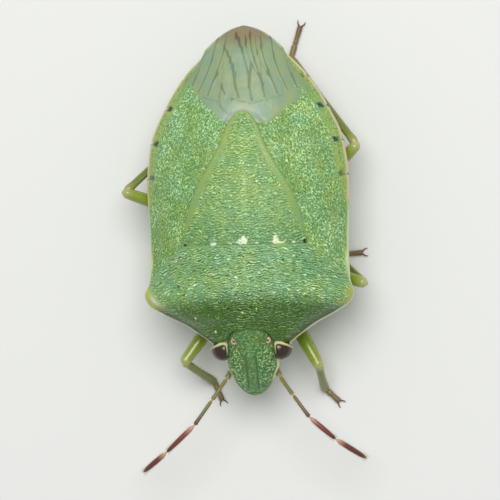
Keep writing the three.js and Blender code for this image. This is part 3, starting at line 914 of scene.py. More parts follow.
    def membrane(self, finish: bpy.types.Material) -> bpy.types.Object:
        """Makes the membrane, a domed sheet whose veins stand up from it.

        Args:
            finish: The material.

        Returns:
            The piece.
        """
        u = close_to_ends(0, 1, self.membrane_steps, 0.3)[None, :]
        v = np.linspace(0, 1, self.membrane_steps)[:, None]
        start_x = blend(-self.overlap, self.membrane_root_half, u)
        end_x = blend(-0.7 * self.overlap, self.membrane_end_half, u)
        margin = self.membrane_tip - 1.35 * (np.abs(end_x) / 1.95) ** 1.85
        y = blend(self.membrane_root(start_x), margin, v)
        room = self.edge(y) + 0.1 - blend(self.membrane_root_half, self.membrane_end_half, v)
        x = blend(start_x, end_x, v) + u**3 * room * (1 - smooth(v, 0.7, 1.0))
        vein = self.veins(x, y, self.vein_half)
        ghost = 0.6 * self.veins(-x, y, self.ghost_half) * (1 - smooth(np.abs(x), 1.0, 1.5))
        ripple = 0.014 * drift(x / 0.35, y / 0.5, 81) + 0.006 * drift(x / 0.12, y / 0.2, 82)
        tucked = 0.1 * (1 - smooth(v, 0.02, 0.12)) + 0.06 * (1 - smooth(y, 4.6, 5.6)) * smooth(u, 0.8, 0.95)
        sheet = FORM.back(x, y) - 0.06 + self.over + ripple - 0.25 * smooth(y, 6.3, 7.6) - tucked
        masks = {
            "relief": np.clip(vein + ghost, 0, 1),
            "tone": smooth(y - 0.2 * x * x, 6.35, 7.2),
            "ivory": 1 - smooth(np.hypot(x / 1.15, (y - 3.8) / 0.65), 0.4, 1.1),
            "amber": smooth(u, 0.86, 1.0),
        }
        name, top = self.side.word, sheet + self.vein_height * vein
        surface = plate(self.side.value * x, y, top, sheet - self.membrane_thickness, masks)
        return surface.piece(f"membrane_{name}", finish, "wing", f"wing_{name}")


@dataclass
class Head:
    """The head: a blunt sloping wedge with a middle lobe between two furrows, and a thin pale rim."""

    tip: float = -7.64
    back: float = -4.55
    lobe_half: float = 0.205
    rows: int = 150
    sides: int = 240
    half_width: Curve = Curve(
        (
            (-7.64, 0.0), (-7.58, 0.26), (-7.43, 0.48), (-7.13, 0.73), (-6.72, 0.93), (-6.3, 1.08),
            (-6.05, 1.07), (-5.7, 1.03), (-5.2, 1.0), (-4.55, 0.9),
        )
    )
    top_height: Curve = Curve(
        ((-7.55, 2.62), (-7.45, 2.83), (-7.2, 3.08), (-6.8, 3.44), (-6.0, 4.04), (-5.2, 4.5), (-4.55, 4.72))
    )
    side_height: Curve = Curve(((-7.55, 2.56), (-7.0, 2.74), (-6.2, 3.1), (-5.2, 3.45), (-4.55, 3.6)))
    under_height: Curve = Curve(((-7.55, 2.5), (-7.3, 2.28), (-6.8, 2.12), (-6.0, 2.1), (-4.55, 2.2)))
    sculpture: Sculpture = Sculpture(0.12, 0.085, 0.022, 61, broken=0.85)
    ocellus_places: tuple[tuple[float, float], ...] = ((-0.65, -5.33), (0.73, -5.3))
    ocellus_half: Point = (0.125, 0.15, 0.08)
    eye_middle: Point = (1.2, -5.69, 3.55)
    eye_half: Point = (0.46, 0.46, 0.4)
    eye_inner: float = 1.03
    eye_rear: float = -5.47
    eye_corner: float = 0.04
    eye_rim: tuple[Point, ...] = (
        (1.08, -6.2, 3.1), (1.03, -6.0, 3.4), (1.0, -5.75, 3.7), (1.02, -5.5, 3.84), (1.12, -5.42, 3.85),
        (1.38, -5.51, 3.78), (1.7, -5.68, 3.5),
    )
    eye_rim_half: Curve = Curve(
        ((0, 0.015), (0.2, 0.03), (0.4, 0.04), (0.52, 0.08), (0.65, 0.09), (0.85, 0.05), (1, 0.012))
    )

    def build(self, finish: bpy.types.Material) -> bpy.types.Object:
        """Makes the capsule as rings round the line from its back to its tip.

        Args:
            finish: The material.

        Returns:
            The piece. Its rings have a flat belly and a domed top that meet in a sharp side edge.
        """
        t = np.linspace(0.0, 1.0, self.rows)[:, None] ** 0.8
        turn = np.linspace(0, 2 * math.pi, self.sides, endpoint=False)[None, :]
        c, s = np.cos(turn), np.sin(turn)
        y = blend(self.back, self.tip + 0.004, 1 - (1 - t) ** 1.6) + 0 * turn
        half = self.half_width(y)
        x = half * np.sign(c) * np.abs(c) ** 0.9
        out, side, up, arch = np.abs(x), half - np.abs(x), s > 0, np.abs(s) ** 0.82
        ridge, pit = self.sculpture.at(x, y)
        ahead = smooth(y, -5.75, -6.05)
        lobe = self.lobe_half * np.minimum(1, half / 0.5)
        furrow = bump_at(out, lobe, 0.035) * ahead * smooth(y, self.tip + 0.1, self.tip + 0.5)
        flecked = 0.5 + 0.5 * bump_at(out, 0.68, 0.42) * smooth(y, -5.3, -5.9)
        calm = smooth(side, 0.05, 0.16) * (1 - 0.7 * furrow) * flecked
        brim = 0.035 * bump_at(side, 0.03, 0.035) * smooth(y, -5.9, -6.1)
        raised = 0.045 * bump_at(x, 0.0, 0.17) * ahead - 0.05 * furrow + brim
        level = self.side_height(y)
        top = blend(level, self.top_height(y), arch) + self.sculpture.lift(ridge, pit) * calm + raised
        under = level - 0.1 * np.minimum(1, half / 0.4)
        cheek = 0.14 * bump_at(out, 0.3, 0.09) * smooth(y, -7.2, -6.9) * (1 - smooth(y, -5.9, -5.3))
        low = blend(under, self.under_height(y), arch) - cheek
        relief = np.clip(relief_mask(ridge, pit, calm) - 0.4 * furrow, 0, 1)
        masks = {
            "relief": relief * np.where(up, 1, 0.9),
            "flecks": np.where(up, 0.85 * calm, 0.0),
            "tone": np.where(up, bump_at(x, 0.0, 0.5) * smooth(y, -5.0, -6.0), 0.0),
            "ivory": (1 - smooth(side, 0.03, 0.08)) * smooth(y, -5.85, -6.05) * (1 - smooth(-y, 6.75, 7.15)),
            "dark": 0.22 * furrow + 0.3 * (1 - smooth(y, self.tip, self.tip + 0.12)),
            "amber": np.where(up, 0.12, 0.62),
        }
        surface = tube(np.stack((x, y, np.where(up, top, low)), -1), masks)
        return surface.piece("head_capsule", finish, "shell", "head")

    def ocelli(self, finish: bpy.types.Material) -> bpy.types.Object:
        """Makes the two simple eyes: small beads low in the crown, dark in the middle.

        Args:
            finish: The material.

        Returns:
            Both beads as one piece.
        """
        lift = np.linspace(-1.2, 1.53, 16)
        beads = []
        for x, y in self.ocellus_places:
            crown = blend(self.side_height(y), self.top_height(y), (1 - x**2) ** 0.41)
            rings = globe((x, y, crown - 0.02), self.ocellus_half, lift, 28)
            beads.append(tube(rings, {"relief": smooth(lift, 0.95, 1.2)[:, None]}))
        return beads[0].joined(beads[1]).piece("ocelli", finish, "eye")

    def eye(self, side: Side, finish: bpy.types.Material) -> bpy.types.Object:
        """Makes a compound eye: an oval bead, cut straight where it meets the head and the rim behind it.

        Args:
            side: Which side it is on.
            finish: The material.

        Returns:
            The piece. A cut is the soft minimum w log(1 + e^(d / w)) of the distance d past it.
        """
        lift = np.linspace(-1.5, 1.5, 70)
        x, y, z = np.moveaxis(globe(self.eye_middle, self.eye_half, lift, 120), -1, 0)
        z = z - 0.08 * (x - self.eye_middle[0]) / self.eye_half[0]
        x = self.eye_inner + self.eye_corner * np.logaddexp(0, (x - self.eye_inner) / self.eye_corner)
        rear = self.eye_rear - 0.3 * (x - self.eye_inner)
        y = rear - self.eye_corner * np.logaddexp(0, (rear - y) / self.eye_corner)
        masks = {"relief": 0.5 + 0.5 * np.sin(lift)[:, None]}
        surface = tube(np.stack((side.value * x, y, z), -1), masks)
        return surface.piece(f"compound_eye_{side.word}", finish, "eye", f"eye_{side.word}")

    def rim(self, side: Side, finish: bpy.types.Material) -> bpy.types.Object:
        """Makes the pale ridge behind an eye, wide at its inner end and drawn out to a point.

        Args:
            side: Which side it is on.
            finish: The material.

        Returns:
            The piece.
        """
        count = 70
        path = Path(smooth_path(np.array(self.eye_rim) * (side.value, 1, 1), count))
        wide = self.eye_rim_half(np.linspace(0, 1, count))
        return tube(path.rings(wide, 0.6 * wide + 0.03, 20)).piece(f"eye_rim_{side.word}", finish, "shell")


@dataclass
class Feelers:
    """The two feelers, each of five lengths that meet at narrow pale joints."""

    joints: dict[Side, tuple[Point, ...]] = field(
        default_factory=lambda: {
            Side.LEFT: (
                (0.86, -6.42, 2.5), (1.05, -6.86, 2.72), (1.61, -7.62, 3.1), (2.29, -8.54, 3.35),
                (3.34, -9.47, 3.2), (4.57, -10.34, 2.6),
            ),
            Side.RIGHT: (
                (-0.9, -6.5, 2.5), (-1.14, -6.92, 2.72), (-1.74, -7.78, 3.1), (-2.46, -8.78, 3.35),
                (-3.68, -9.9, 3.2), (-4.76, -10.76, 2.6),
            ),
        }
    )
    half: tuple[float, ...] = (0.115, 0.088, 0.085, 0.105, 0.11)
    first_spindle: int = 3
    bend: float = 0.05
    steps: int = 46
    sides: int = 20
    hair_half: float = 0.008
    hair_station: float = 1.2

    def length(self, start: Array, end: Array, number: int) -> Surface:
        """One length of a feeler.

        Args:
            start: Its near joint.
            end: Its far joint.
            number: Which length it is, from 0 at the head.

        Returns:
            A spindle or rod with pinched ends, whose station mask says how far out on the feeler it lies.
        """
        t = close_to_ends(0, 1, self.steps, 0.7)
        rod = 0.86 + 0.14 * smooth(t, 0.6, 1)
        spindle = np.sin(math.pi * np.clip(t * 0.9 + 0.08, 0, 1)) ** 0.35
        pinch = 0.45 + 0.55 * smooth(t, 0.0, 0.1) * (1 - smooth(t, 0.93, 1.0))
        if number == len(self.half) - 1:
            pinch = pinch * (1 - smooth(t, 0.75, 1.12) ** 2)
        radius = self.half[number] * (spindle if number >= self.first_spindle else rod) * pinch
        rough = 1 + 0.03 * drift(np.arange(self.sides) * 0.9, t[:, None] * 40, 90 + number)
        rings = Path(arched(start, end, t, self.bend)).rings(radius, radius, self.sides, rough)
        return tube(rings, {"station": (number + t)[:, None] / len(self.half)})

    def hairs(self, start: Array, end: Array, number: int) -> Surface:
        """Fine hairs over one length, leaning outwards along it.

        Args:
            start: Its near joint.
            end: Its far joint.
            number: Which length it is.

        Returns:
            The hairs.
        """
        count = 170 if number >= self.first_spindle else 50
        axis, out = spiral(start, end, count)
        roots = arched(start, end, np.linspace(0.12, 0.97, count), self.bend) + out * self.half[number] * 0.8
        tall = 0.09 + 0.05 * hashed(np.arange(count), np.zeros(count), number)
        return bristles(roots, out + 0.9 * axis, tall, self.hair_half, self.hair_station)

    def build(self, finish: bpy.types.Material) -> None:
        """Makes both feelers.

        Args:
            finish: The material, which colours each by how far out along it a point lies.
        """
        for side, joints in self.joints.items():
            parts = []
            for number, (near, far) in enumerate(zip(joints, joints[1:])):
                ends = np.array(near), np.array(far)
                parts += [self.length(*ends, number), self.hairs(*ends, number)]
            parts[0].joined(*parts[1:]).piece(f"antenna_{side.word}", finish, "feeler", f"feeler_{side.word}")


@dataclass
class Trunk:
    """The underside: the front body with its hip sockets, and the ringed abdomen with its pale side rim."""

    front: float = -4.75
    thorax_end: float = 0.4
    thorax_steps: int = 150
    thorax_skin: Sculpture = Sculpture(0.2, 0.14, 0.018, 101, broken=0.4)
    abdomen_start: float = -0.1
    rear: float = 6.62
    abdomen_rows: int = 250
    abdomen_columns: int = 190
    abdomen_skin: Sculpture = Sculpture(0.13, 0.1, 0.018, 131, slant=0.7)
    segment_ends: tuple[float, ...] = (1.4, 2.81, 4.2, 5.43)
    belly_end: float = 6.15
    rim_width: float = 0.36
    spot_tones: tuple[float, ...] = (0.75, 1.0, 1.0, 0.9)
    breathing_holes: tuple[float, ...] = (0.8, 2.105, 3.505, 4.815, 5.865)
    beak_line: tuple[Point, ...] = (
        (0, -7.15, 2.2), (0, -6.95, 1.9), (0, -6.1, 1.72), (0, -5.0, 1.5), (0, -3.4, 1.18), (0, -1.6, 1.02),
    )
    beak_joints: tuple[float, ...] = (0.2, 0.45, 0.72)

    def thorax(self, finish: bpy.types.Material, hips: list[Array]) -> bpy.types.Object:
        """Makes the front body, whose side plates are parted by furrows and hollowed round each hip.

        Args:
            finish: The material.
            hips: Centres of the hips.

        Returns:
            The piece.
        """
        across = close_to_ends(-1, 1, self.thorax_steps, 0.3)[None, :]
        y = blend(self.front, self.thorax_end, np.linspace(0, 1, self.thorax_steps)[:, None]) + 0 * across
        half = FORM.half_width(y)
        x, side = across * half * 0.955, (1 - np.abs(across)) * half
        from_hips = [np.hypot(x - hip[0], y - hip[1]) for hip in hips]
        collar = sum(bump_at(distance, 0.5, 0.12) for distance in from_hips)
        bowl = sum(1 - smooth(distance, 0.3, 0.52) for distance in from_hips)
        slanted = y - 0.12 * np.abs(x)
        outwards = smooth(np.abs(x), 1.3, 1.7)
        furrow = (bump_at(slanted, -3.25, 0.05) + bump_at(slanted, -1.75, 0.05)) * outwards
        ridge, pit = self.thorax_skin.at(x, y)
        calm = (outwards - 0.7 * furrow) * smooth(side, 0.05, 0.3)
        keel = 0.1 * bump_at(x, 0, 0.12) * smooth(y, -3.9, -3.4)
        bottom = FORM.belly(x, y) - 0.06 * collar + 0.16 * bowl + 0.06 * furrow + 0.5 * rounded(side, 0.15)
        bottom = bottom - self.thorax_skin.height * ridge * calm - keel
        top = np.maximum(FORM.back(x, y) - 0.5 - 0.3 * smooth(side, 0.2, 1.2), bottom + 0.06)
        masks = {
            "relief": relief_mask(ridge, pit, calm),
            "tone": outwards,
            "amber": 0.5 * bump_at(np.abs(x), 0.6, 0.5),
            "ivory": 0.35 * (1 - smooth(side, 0.05, 0.2)),
            "dark": 0.35 * furrow,
        }
        return hull(x, y, top, bottom, masks, masks).piece("thorax_underside", finish, "underside", "thorax")

    def abdomen(self, finish: bpy.types.Material) -> bpy.types.Object:
        """Makes the abdomen. Its back is sunk under the wings and rises at each side to the ringed rim.

        Args:
            finish: The material.

        Returns:
            The piece.
        """
        ends = self.segment_ends
        across = close_to_ends(-1, 1, self.abdomen_columns, 0.8)[None, :]
        along = np.linspace(0, 1, self.abdomen_rows)[:, None]
        y = blend(self.abdomen_start, self.rear, along) + 0 * across
        half = FORM.half_width(y) - sum(0.05 * bump_at(y, end + 0.03, 0.05) for end in ends)
        half = half + sum(0.02 * bump_at(y, end - 0.035, 0.035) for end in ends)
        half = half * (1 - 0.06 * smooth(y, 6.35, self.rear))
        x, side = across * half, (1 - np.abs(across)) * half
        rim = 1 - smooth(side, self.rim_width + 0.04, self.rim_width + 0.16)
        ring = sum(bump_at(y + 0.03 * (np.abs(x) - 2.0), end, 0.045) for end in ends)
        ridge, pit = self.abdomen_skin.at(x, y)
        calm = smooth(side, 0.03, 0.12) * (1 - 0.7 * ring)
        back = FORM.back(x, y)
        upper = back - 0.07 + self.abdomen_skin.lift(ridge, pit) * calm - 0.05 * ring
        upper = upper - 0.8 * rounded(side, 0.09) - 0.2 * smooth(y, 5.7, 6.2)
        top = blend(back - 0.55, upper, rim)
        belly_ring = sum(bump_at(y + 0.05 * (x / 2) ** 2, end - 0.1, 0.05) for end in (*ends, self.belly_end))
        keel = 0.1 * bump_at(x, 0, 0.14) * (1 - smooth(y, 4.5, 5.5))
        rise = 0.05 * belly_ring + 0.3 * smooth(y, 6.1, self.rear) ** 2 + 0.8 * rounded(side, 0.12)
        bottom = np.minimum(FORM.belly(x, y) + rise - 0.012 * ridge - keel, top - 0.08)
        above, below = self.dress(x, y, side, rim, belly_ring)
        relief = relief_mask(ridge, pit, calm)
        above |= {"relief": relief, "flecks": 0.8 * rim * calm}
        below |= {"relief": relief, "flecks": 0.3 * calm}
        surface = hull(x, y, top, bottom, above, below)
        return surface.piece("abdomen_shell", finish, "underside", "abdomen")

    def dress(self, x: Array, y: Array, side: Array, rim: Array, belly_ring: Array) -> tuple[Masks, Masks]:
        """Places the abdomen's colours that don't follow its ridges.

        Args:
            x: Distance from the middle line.
            y: Station along the body.
            side: Distance in from the side edge.
            rim: How far a place belongs to the rim that the wings leave open.
            belly_ring: The furrows between the rings of the belly.

        Returns:
            Masks of the upper face, with the rim's amber, its pale edge and its dark spots, and masks of the
            lower face, with the breathing holes.
        """
        blotch, dot = 0, 0
        for tone, end in zip(self.spot_tones, self.segment_ends):
            reach = np.hypot((side - 0.3) / 0.19, (y - end + 0.25 * (side - 0.3)) / 0.13)
            blotch = blotch + tone * (1 - smooth(reach + 0.3 * drift(x / 0.08, y / 0.08, 7), 0.5, 1.1))
            dot = dot + (1 - smooth(np.hypot(side, y - end + 0.02) / 0.06, 0.5, 1.1))
        holes = sum(bump_at(y, place, 0.06) for place in self.breathing_holes) * bump_at(side, 0.75, 0.06)
        above = {
            "tone": 1 - rim,
            "amber": rim * (0.45 + 0.35 * drift(x / 0.2, y / 0.2, 17)),
            "ivory": (1 - smooth(side, 0.05, 0.12)) * smooth(y, -0.2, 0.6),
            "dark": np.clip(blotch * rim + dot, 0, 1),
        }
        below = {
            "tone": 1 - rim,
            "amber": 0.35 * bump_at(x, 0, 1.2),
            "ivory": 0.7 * (1 - smooth(side, 0.05, 0.2)),
            "dark": np.clip(holes + 0.2 * belly_ring + dot, 0, 1),
        }
        return above, below

    def beak(self, finish: bpy.types.Material) -> bpy.types.Object:
        """Makes the beak, folded back under the head between the hips, in four lengths with a dark tip.

        Args:
            finish: The material.

        Returns:
            The piece.
        """
        t = np.linspace(0, 1, 120)
        joint = sum(bump_at(t, place, 0.012) for place in self.beak_joints)
        wide = blend(0.16, 0.08, t) * (1 - 0.22 * joint) * (1 - smooth(t, 0.95, 1.01) * 0.8)
        path = Path(smooth_path(np.array(self.beak_line), len(t)), up=(0.1, 0.02, 1.0))
        dark = 0.9 * smooth(t, 0.86, 0.97) + 0.3 * joint
        masks = {"relief": 0.5, "amber": 0.5, "dark": dark[:, None]}
        return tube(path.rings(wide, 0.85 * wide, 24), masks).piece("beak_sheath", finish, "leg", "beak")


@dataclass(frozen=True)
class Leg:
    """One leg, by its hip, knee, ankle and toe, from the same places as the solids."""

    name: str
    hip: tuple[float, float]
    knee: Point
    ankle: tuple[float, float]
    toe: tuple[float, float]
    hip_drop: float = 0.08
    hip_half: Point = (0.4, 0.36, 0.42)
    thigh_sag: float = 0.12
    thigh_past_knee: float = 0.12
    thigh_half: Curve = Curve(
        (
            (0.0, 0.17), (0.12, 0.21), (0.17, 0.17), (0.3, 0.25), (0.55, 0.3), (0.85, 0.25), (0.96, 0.22),
            (1.0, 0.08),
        )
    )
    shin_half: float = 0.165
    shin_bow: float = 0.1
    shin_shape: Curve = Curve(
        ((0.0, 0.6), (0.05, 1.1), (0.12, 0.95), (0.5, 0.92), (0.9, 1.12), (0.98, 1.05), (1.0, 0.5))
    )
    foot_half: float = 0.1
    foot_shape: Curve = Curve(
        (
            (0.0, 0.75), (0.08, 1.1), (0.36, 1.2), (0.42, 0.75), (0.5, 0.95), (0.56, 0.75), (0.7, 0.9),
            (0.95, 1.05), (1.0, 0.5),
        )
    )
    foot_share: float = 0.86
    ankle_height: float = 0.24

    def hip_centre(self) -> Array:
        """The hip's middle, a little under the belly's keel."""
        return np.array([*self.hip, FORM.belly_height(self.hip[1]) - self.hip_drop])

    def thigh(self, finish: bpy.types.Material) -> bpy.types.Object:
        """Makes the hip, its collar and the thigh.

        Args:
            finish: The material.

        Returns:
            The piece.
        """
        hip, knee = self.hip_centre(), np.array(self.knee)
        ball = tube(globe(hip + 0.02 * UP, self.hip_half, np.linspace(-1.5, 1.5, 22), 36), {"station": 0.0})
        t = close_to_ends(0, 1, 110, 0.5)
        points = arched(hip, knee + unit(knee - hip) * self.thigh_past_knee, t, -self.thigh_sag)
        wide = self.thigh_half(t) * (1 - 0.12 * bump_at(t, 0.17, 0.018))
        shaft = tube(Path(points).rings(wide, wide * 1.02, 48), {"station": t[:, None]})
        return ball.joined(shaft).piece(f"femur_{self.name}", finish, "leg", f"thigh_{self.name}")

    def shin(self, finish: bpy.types.Material) -> bpy.types.Object:
        """Makes the shin, three-edged, with a groove on top, a slight flare at the ankle and hairs.

        Args:
            finish: The material.

        Returns:
            The piece. Its section is scaled by 1 - 0.06 cos(3 turn), less the groove, with turn from the top.
        """
        knee, ankle = np.array(self.knee), np.array([*self.ankle, self.ankle_height])
        t, sides = close_to_ends(0, 1, 110, 0.5), 44
        from_top = np.linspace(0, 2 * math.pi, sides, endpoint=False) - math.pi / 2
        groove = bump_at(from_top, 0.0, 0.28) * smooth(t, 0.08, 0.2)[:, None]
        section = 1 - 0.06 * np.cos(3 * from_top) - 0.16 * groove
        wide = self.shin_half * self.shin_shape(t)
        rings = Path(arched(knee, ankle, t, self.shin_bow)).rings(wide, wide, sides, section)
        shaft = tube(rings, {"station": t[:, None]})
        along, out = spiral(knee, ankle, 150)
        place = np.linspace(0.1, 0.97, len(out))
        roots = arched(knee, ankle, place, self.shin_bow) + out * self.shin_half * 0.8
        hairs = bristles(roots, 0.8 * out + along, 0.1 + 0.08 * place, 0.009, 0.5)
        return shaft.joined(hairs).piece(f"tibia_{self.name}", finish, "leg", f"shin_{self.name}")

    def foot(self, finish: bpy.types.Material) -> bpy.types.Object:
        """Makes the foot: three lengths flat on the floor and two curved claws, with hairs at its sides.

        Args:
            finish: The material.

        Returns:
            The piece.
        """
        start = np.array([*self.ankle, self.ankle_height - 0.03])
        stride = np.array([*self.toe, start[2]]) - start
        along, reach = unit(stride), self.foot_share * stride
        across = np.cross(along, UP)
        t = close_to_ends(0, 1, 90, 0.4)
        points = start + reach * t[:, None]
        points[:, 2] = blend(start[2], self.foot_half, smooth(t, 0.0, 0.2))
        wide = self.foot_half * self.foot_shape(t)
        rings = Path(points).rings(wide, np.minimum(wide, self.foot_half), 28)
        rings[..., 2] = np.maximum(rings[..., 2], 0.0)
        sole = tube(rings, {"station": t[:, None]})
        claws = [self.claw(points[-1], along, sign * across) for sign in (-1, 1)]
        count = 60
        place = np.linspace(0.08, 0.95, count)[:, None]
        outwards = np.where(np.arange(count) % 2, 1.0, -1.0)[:, None] * across
        raised = 0.35 * hashed(np.arange(count), np.arange(count), 3)[:, None] * UP
        roots = start + reach * place + outwards * self.foot_half * 0.7
        roots[:, 2] = self.foot_half
        hairs = bristles(roots, outwards + raised + 0.9 * along, np.full(count, 0.13), 0.008, 0.3)
        return sole.joined(*claws, hairs).piece(f"tarsus_{self.name}", finish, "foot", f"foot_{self.name}")

    def claw(self, end: Array, along: Array, outwards: Array) -> Surface:
        """One curved claw.

        Args:
            end: Where the foot ends.
            along: The foot's unit direction.
            outwards: Unit vector to the claw's side.

        Returns:
            A cone carried along an arc that leaves sideways, turns ahead and dips to the floor.
        """
        bend = np.linspace(0, 1, 24)[:, None]
        line = end - 0.03 * along + outwards * (0.03 + 0.13 * np.sin(1.9 * bend)) + along * 0.26 * bend
        line[:, 2:] = 0.06 + 0.07 * np.sin(math.pi * bend) - 0.04 * bend
        thick = 0.035 * (1 - bend[:, 0]) ** 0.7 + 0.004
        return tube(Path(line).rings(thick, thick, 10), {"station": 0.9 + 0.6 * bend})


LEGS = (
    Leg("front_left", (0.95, -3.46), (2.65, -6.48, 2.3), (2.72, -7.55), (3.4, -8.2)),
    Leg("front_right", (-0.95, -3.46), (-2.95, -6.22, 2.25), (-1.98, -7.15), (-1.6, -8.1)),
    Leg("middle_left", (1.0, -2.0), (4.66, -3.1, 2.95), (3.3, -1.95), (4.62, -1.85)),
    Leg("middle_right", (-1.0, -2.0), (-3.95, -0.9, 2.0), (-2.75, 1.75), (-3.35, 3.0)),
    Leg("hind_left", (1.0, -0.72), (4.46, 2.58, 2.75), (1.62, 6.38), (2.12, 7.95)),
    Leg("hind_right", (-1.0, -0.72), (-5.2, 0.87, 2.7), (-2.1, 3.9), (-1.75, 5.5)),
)


def linear(red: int, green: int, blue: int) -> Colour:
    """The linear colour of an 8-bit one, ((c + 0.055) / 1.055)^2.4 on each share c of 255."""
    return tuple(((share / 255 + 0.055) / 1.055) ** 2.4 for share in (red, green, blue))


@dataclass(frozen=True)
class Tones:
    """Three colours of a sculptured plate: its even ground, its ridges and its pits, as 8-bit values."""

    ground: tuple[int, int, int]
    ridge: tuple[int, int, int]
    pit: tuple[int, int, int]

    def colours(self) -> tuple[Colour, ...]:
        """The three as linear colours."""
        return linear(*self.ground), linear(*self.ridge), linear(*self.pit)


@dataclass
class Graph:
    """A node tree with short calls to add nodes and links."""

    tree: bpy.types.NodeTree

    def node(self, kind: str, **settings: object) -> bpy.types.Node:
        """Adds a node.

        Args:
            kind: Blender's name for it, without the ShaderNode in front.
            settings: Its properties.

        Returns:
            The node.
        """
        made = self.tree.nodes.new(f"ShaderNode{kind}")
        for key, value in settings.items():
            setattr(made, key, value)
        return made

    def group(self, name: str) -> bpy.types.Node:
        """Places a shared node group."""
        return self.node("Group", node_tree=bpy.data.node_groups[name])

    def feed(self, socket: Socket, value: Value) -> None:
        """Links an output to a socket, or sets a number or a colour on it.

        Args:
            socket: The input.
            value: What it gets. A colour of three shares is made opaque.
        """
        if isinstance(value, bpy.types.NodeSocket):
            self.tree.links.new(value, socket)
        elif socket.type == "RGBA":
            socket.default_value = (*value, 1.0)
        else:
            socket.default_value = value

    def feed_all(self, sockets: object, values: dict[str | int, Value]) -> None:
        """Feeds several of a node's sockets, each by its name or number."""
        for key, value in values.items():
            self.feed(sockets[key], value)

    def mask(self, name: str) -> Socket:
        """A number that the mesh stores at each point."""
        return self.node("Attribute", attribute_name=name).outputs["Fac"]

    def ramp(self, value: Value, start: float, end: float, low: float = 0.0, high: float = 1.0) -> Socket:
        """Maps a value smoothly from one range to another.

        Args:
            value: The output or number to map.
            start: Value that gives low.
            end: Value that gives high.
            low: Lower end of the result.
            high: Upper end of the result.

        Returns:
            The mapped value.
        """
        made = self.node("MapRange", interpolation_type="SMOOTHSTEP")
        given = {"Value": value, "From Min": start, "From Max": end, "To Min": low, "To Max": high}
        self.feed_all(made.inputs, given)
        return made.outputs["Result"]

    def mix(self, share: Value, a: Value, b: Value, how: str = "MIX") -> Socket:
        """Mixes two colours.

        Args:
            share: How much of b.
            a: First colour.
            b: Second colour.
            how: The blend mode.

        Returns:
            The mixed colour.
        """
        made = self.node("Mix", data_type="RGBA", blend_type=how)
        self.feed_all(made.inputs, {0: share, 6: a, 7: b})
        return made.outputs[2]

    def blend(self, share: Value, a: Value, b: Value) -> Socket:
        """Mixes two numbers.

        Args:
            share: How much of b.
            a: First number.
            b: Second number.

        Returns:
            The mixed number.
        """
        made = self.node("Mix", data_type="FLOAT")
        self.feed_all(made.inputs, {0: share, 2: a, 3: b})
        return made.outputs[0]

    def math(self, how: str, a: Value, b: Value) -> Socket:
        """Works on two numbers.

        Args:
            how: The operation, such as ADD.
            a: First number.
            b: Second number.

        Returns:
            The result.
        """
        made = self.node("Math", operation=how)
        self.feed_all(made.inputs, {0: a, 1: b})
        return made.outputs[0]

    def noise(self, apart: float, detail: float, seed: float) -> Socket:
        """Noise on the object's own coordinates.

        Args:
            apart: How many millimetres its features are apart.
            detail: How many finer layers it has.
            seed: Which noise.

        Returns:
            Its value, from 0 to 1.
        """
        made = self.node("TexNoise", noise_dimensions="4D")
        place = self.node("TexCoord").outputs["Object"]
        given = {"Vector": place, "W": seed, "Scale": 1 / (apart * MILLIMETRE), "Detail": detail}
        self.feed_all(made.inputs, given)
        return made.outputs["Fac"]


def new_group(name: str, takes: dict[str, str], gives: dict[str, str]) -> tuple[Graph, object, object]:
    """Starts a shader node group.

    Args:
        name: Its name.
        takes: Its inputs, each with Color or Float.
        gives: Its outputs, likewise.

    Returns:
        The graph, the sockets that bring its inputs and the sockets that take its outputs.
    """
    tree = bpy.data.node_groups.new(name, "ShaderNodeTree")
    for way, sockets in (("INPUT", takes), ("OUTPUT", gives)):
        for key, kind in sockets.items():
            tree.interface.new_socket(key, in_out=way, socket_type=f"NodeSocket{kind}")
    return Graph(tree), tree.nodes.new("NodeGroupInput").outputs, tree.nodes.new("NodeGroupOutput").inputs


def make_grain_group() -> None:
    """Builds the fine grain that every finish shares.

    The group varies a colour a little by soft noise, towards warm or cool, and gives the height and the
    roughness that go with it.
    """
    graph, given, out = new_group(
        "fine_grain",
        {"Colour": "Color", "Warm": "Color", "Cool": "Color", "Amount": "Float", "Roughness": "Float"},
        {"Colour": "Color", "Height": "Float", "Roughness": "Float"},
    )
    broad = graph.ramp(graph.noise(0.55, 2.0, 3.0), 0.35, 0.68)
    small, fine = graph.noise(0.075, 3.0, 7.0), graph.noise(0.028, 2.0, 11.0)
    warm_share = graph.math("MULTIPLY", broad, given["Amount"])
    cool_share = graph.math("MULTIPLY", graph.math("SUBTRACT", 1.0, broad), given["Amount"])
    colour = graph.mix(warm_share, given["Colour"], given["Warm"], "MULTIPLY")
    colour = graph.mix(cool_share, colour, given["Cool"], "MULTIPLY")
    light = graph.mix(fine, (0.86, 0.86, 0.86), (1.12, 1.12, 1.12))
    height = graph.math("ADD", graph.math("MULTIPLY", small, 0.7), graph.math("MULTIPLY", fine, 0.3))
    roughness = graph.math("ADD", given["Roughness"], graph.ramp(small, 0.3, 0.7, -0.05, 0.07))
    colour = graph.mix(1.0, colour, light, "MULTIPLY")
    graph.feed_all(out, {"Colour": colour, "Height": height, "Roughness": roughness})


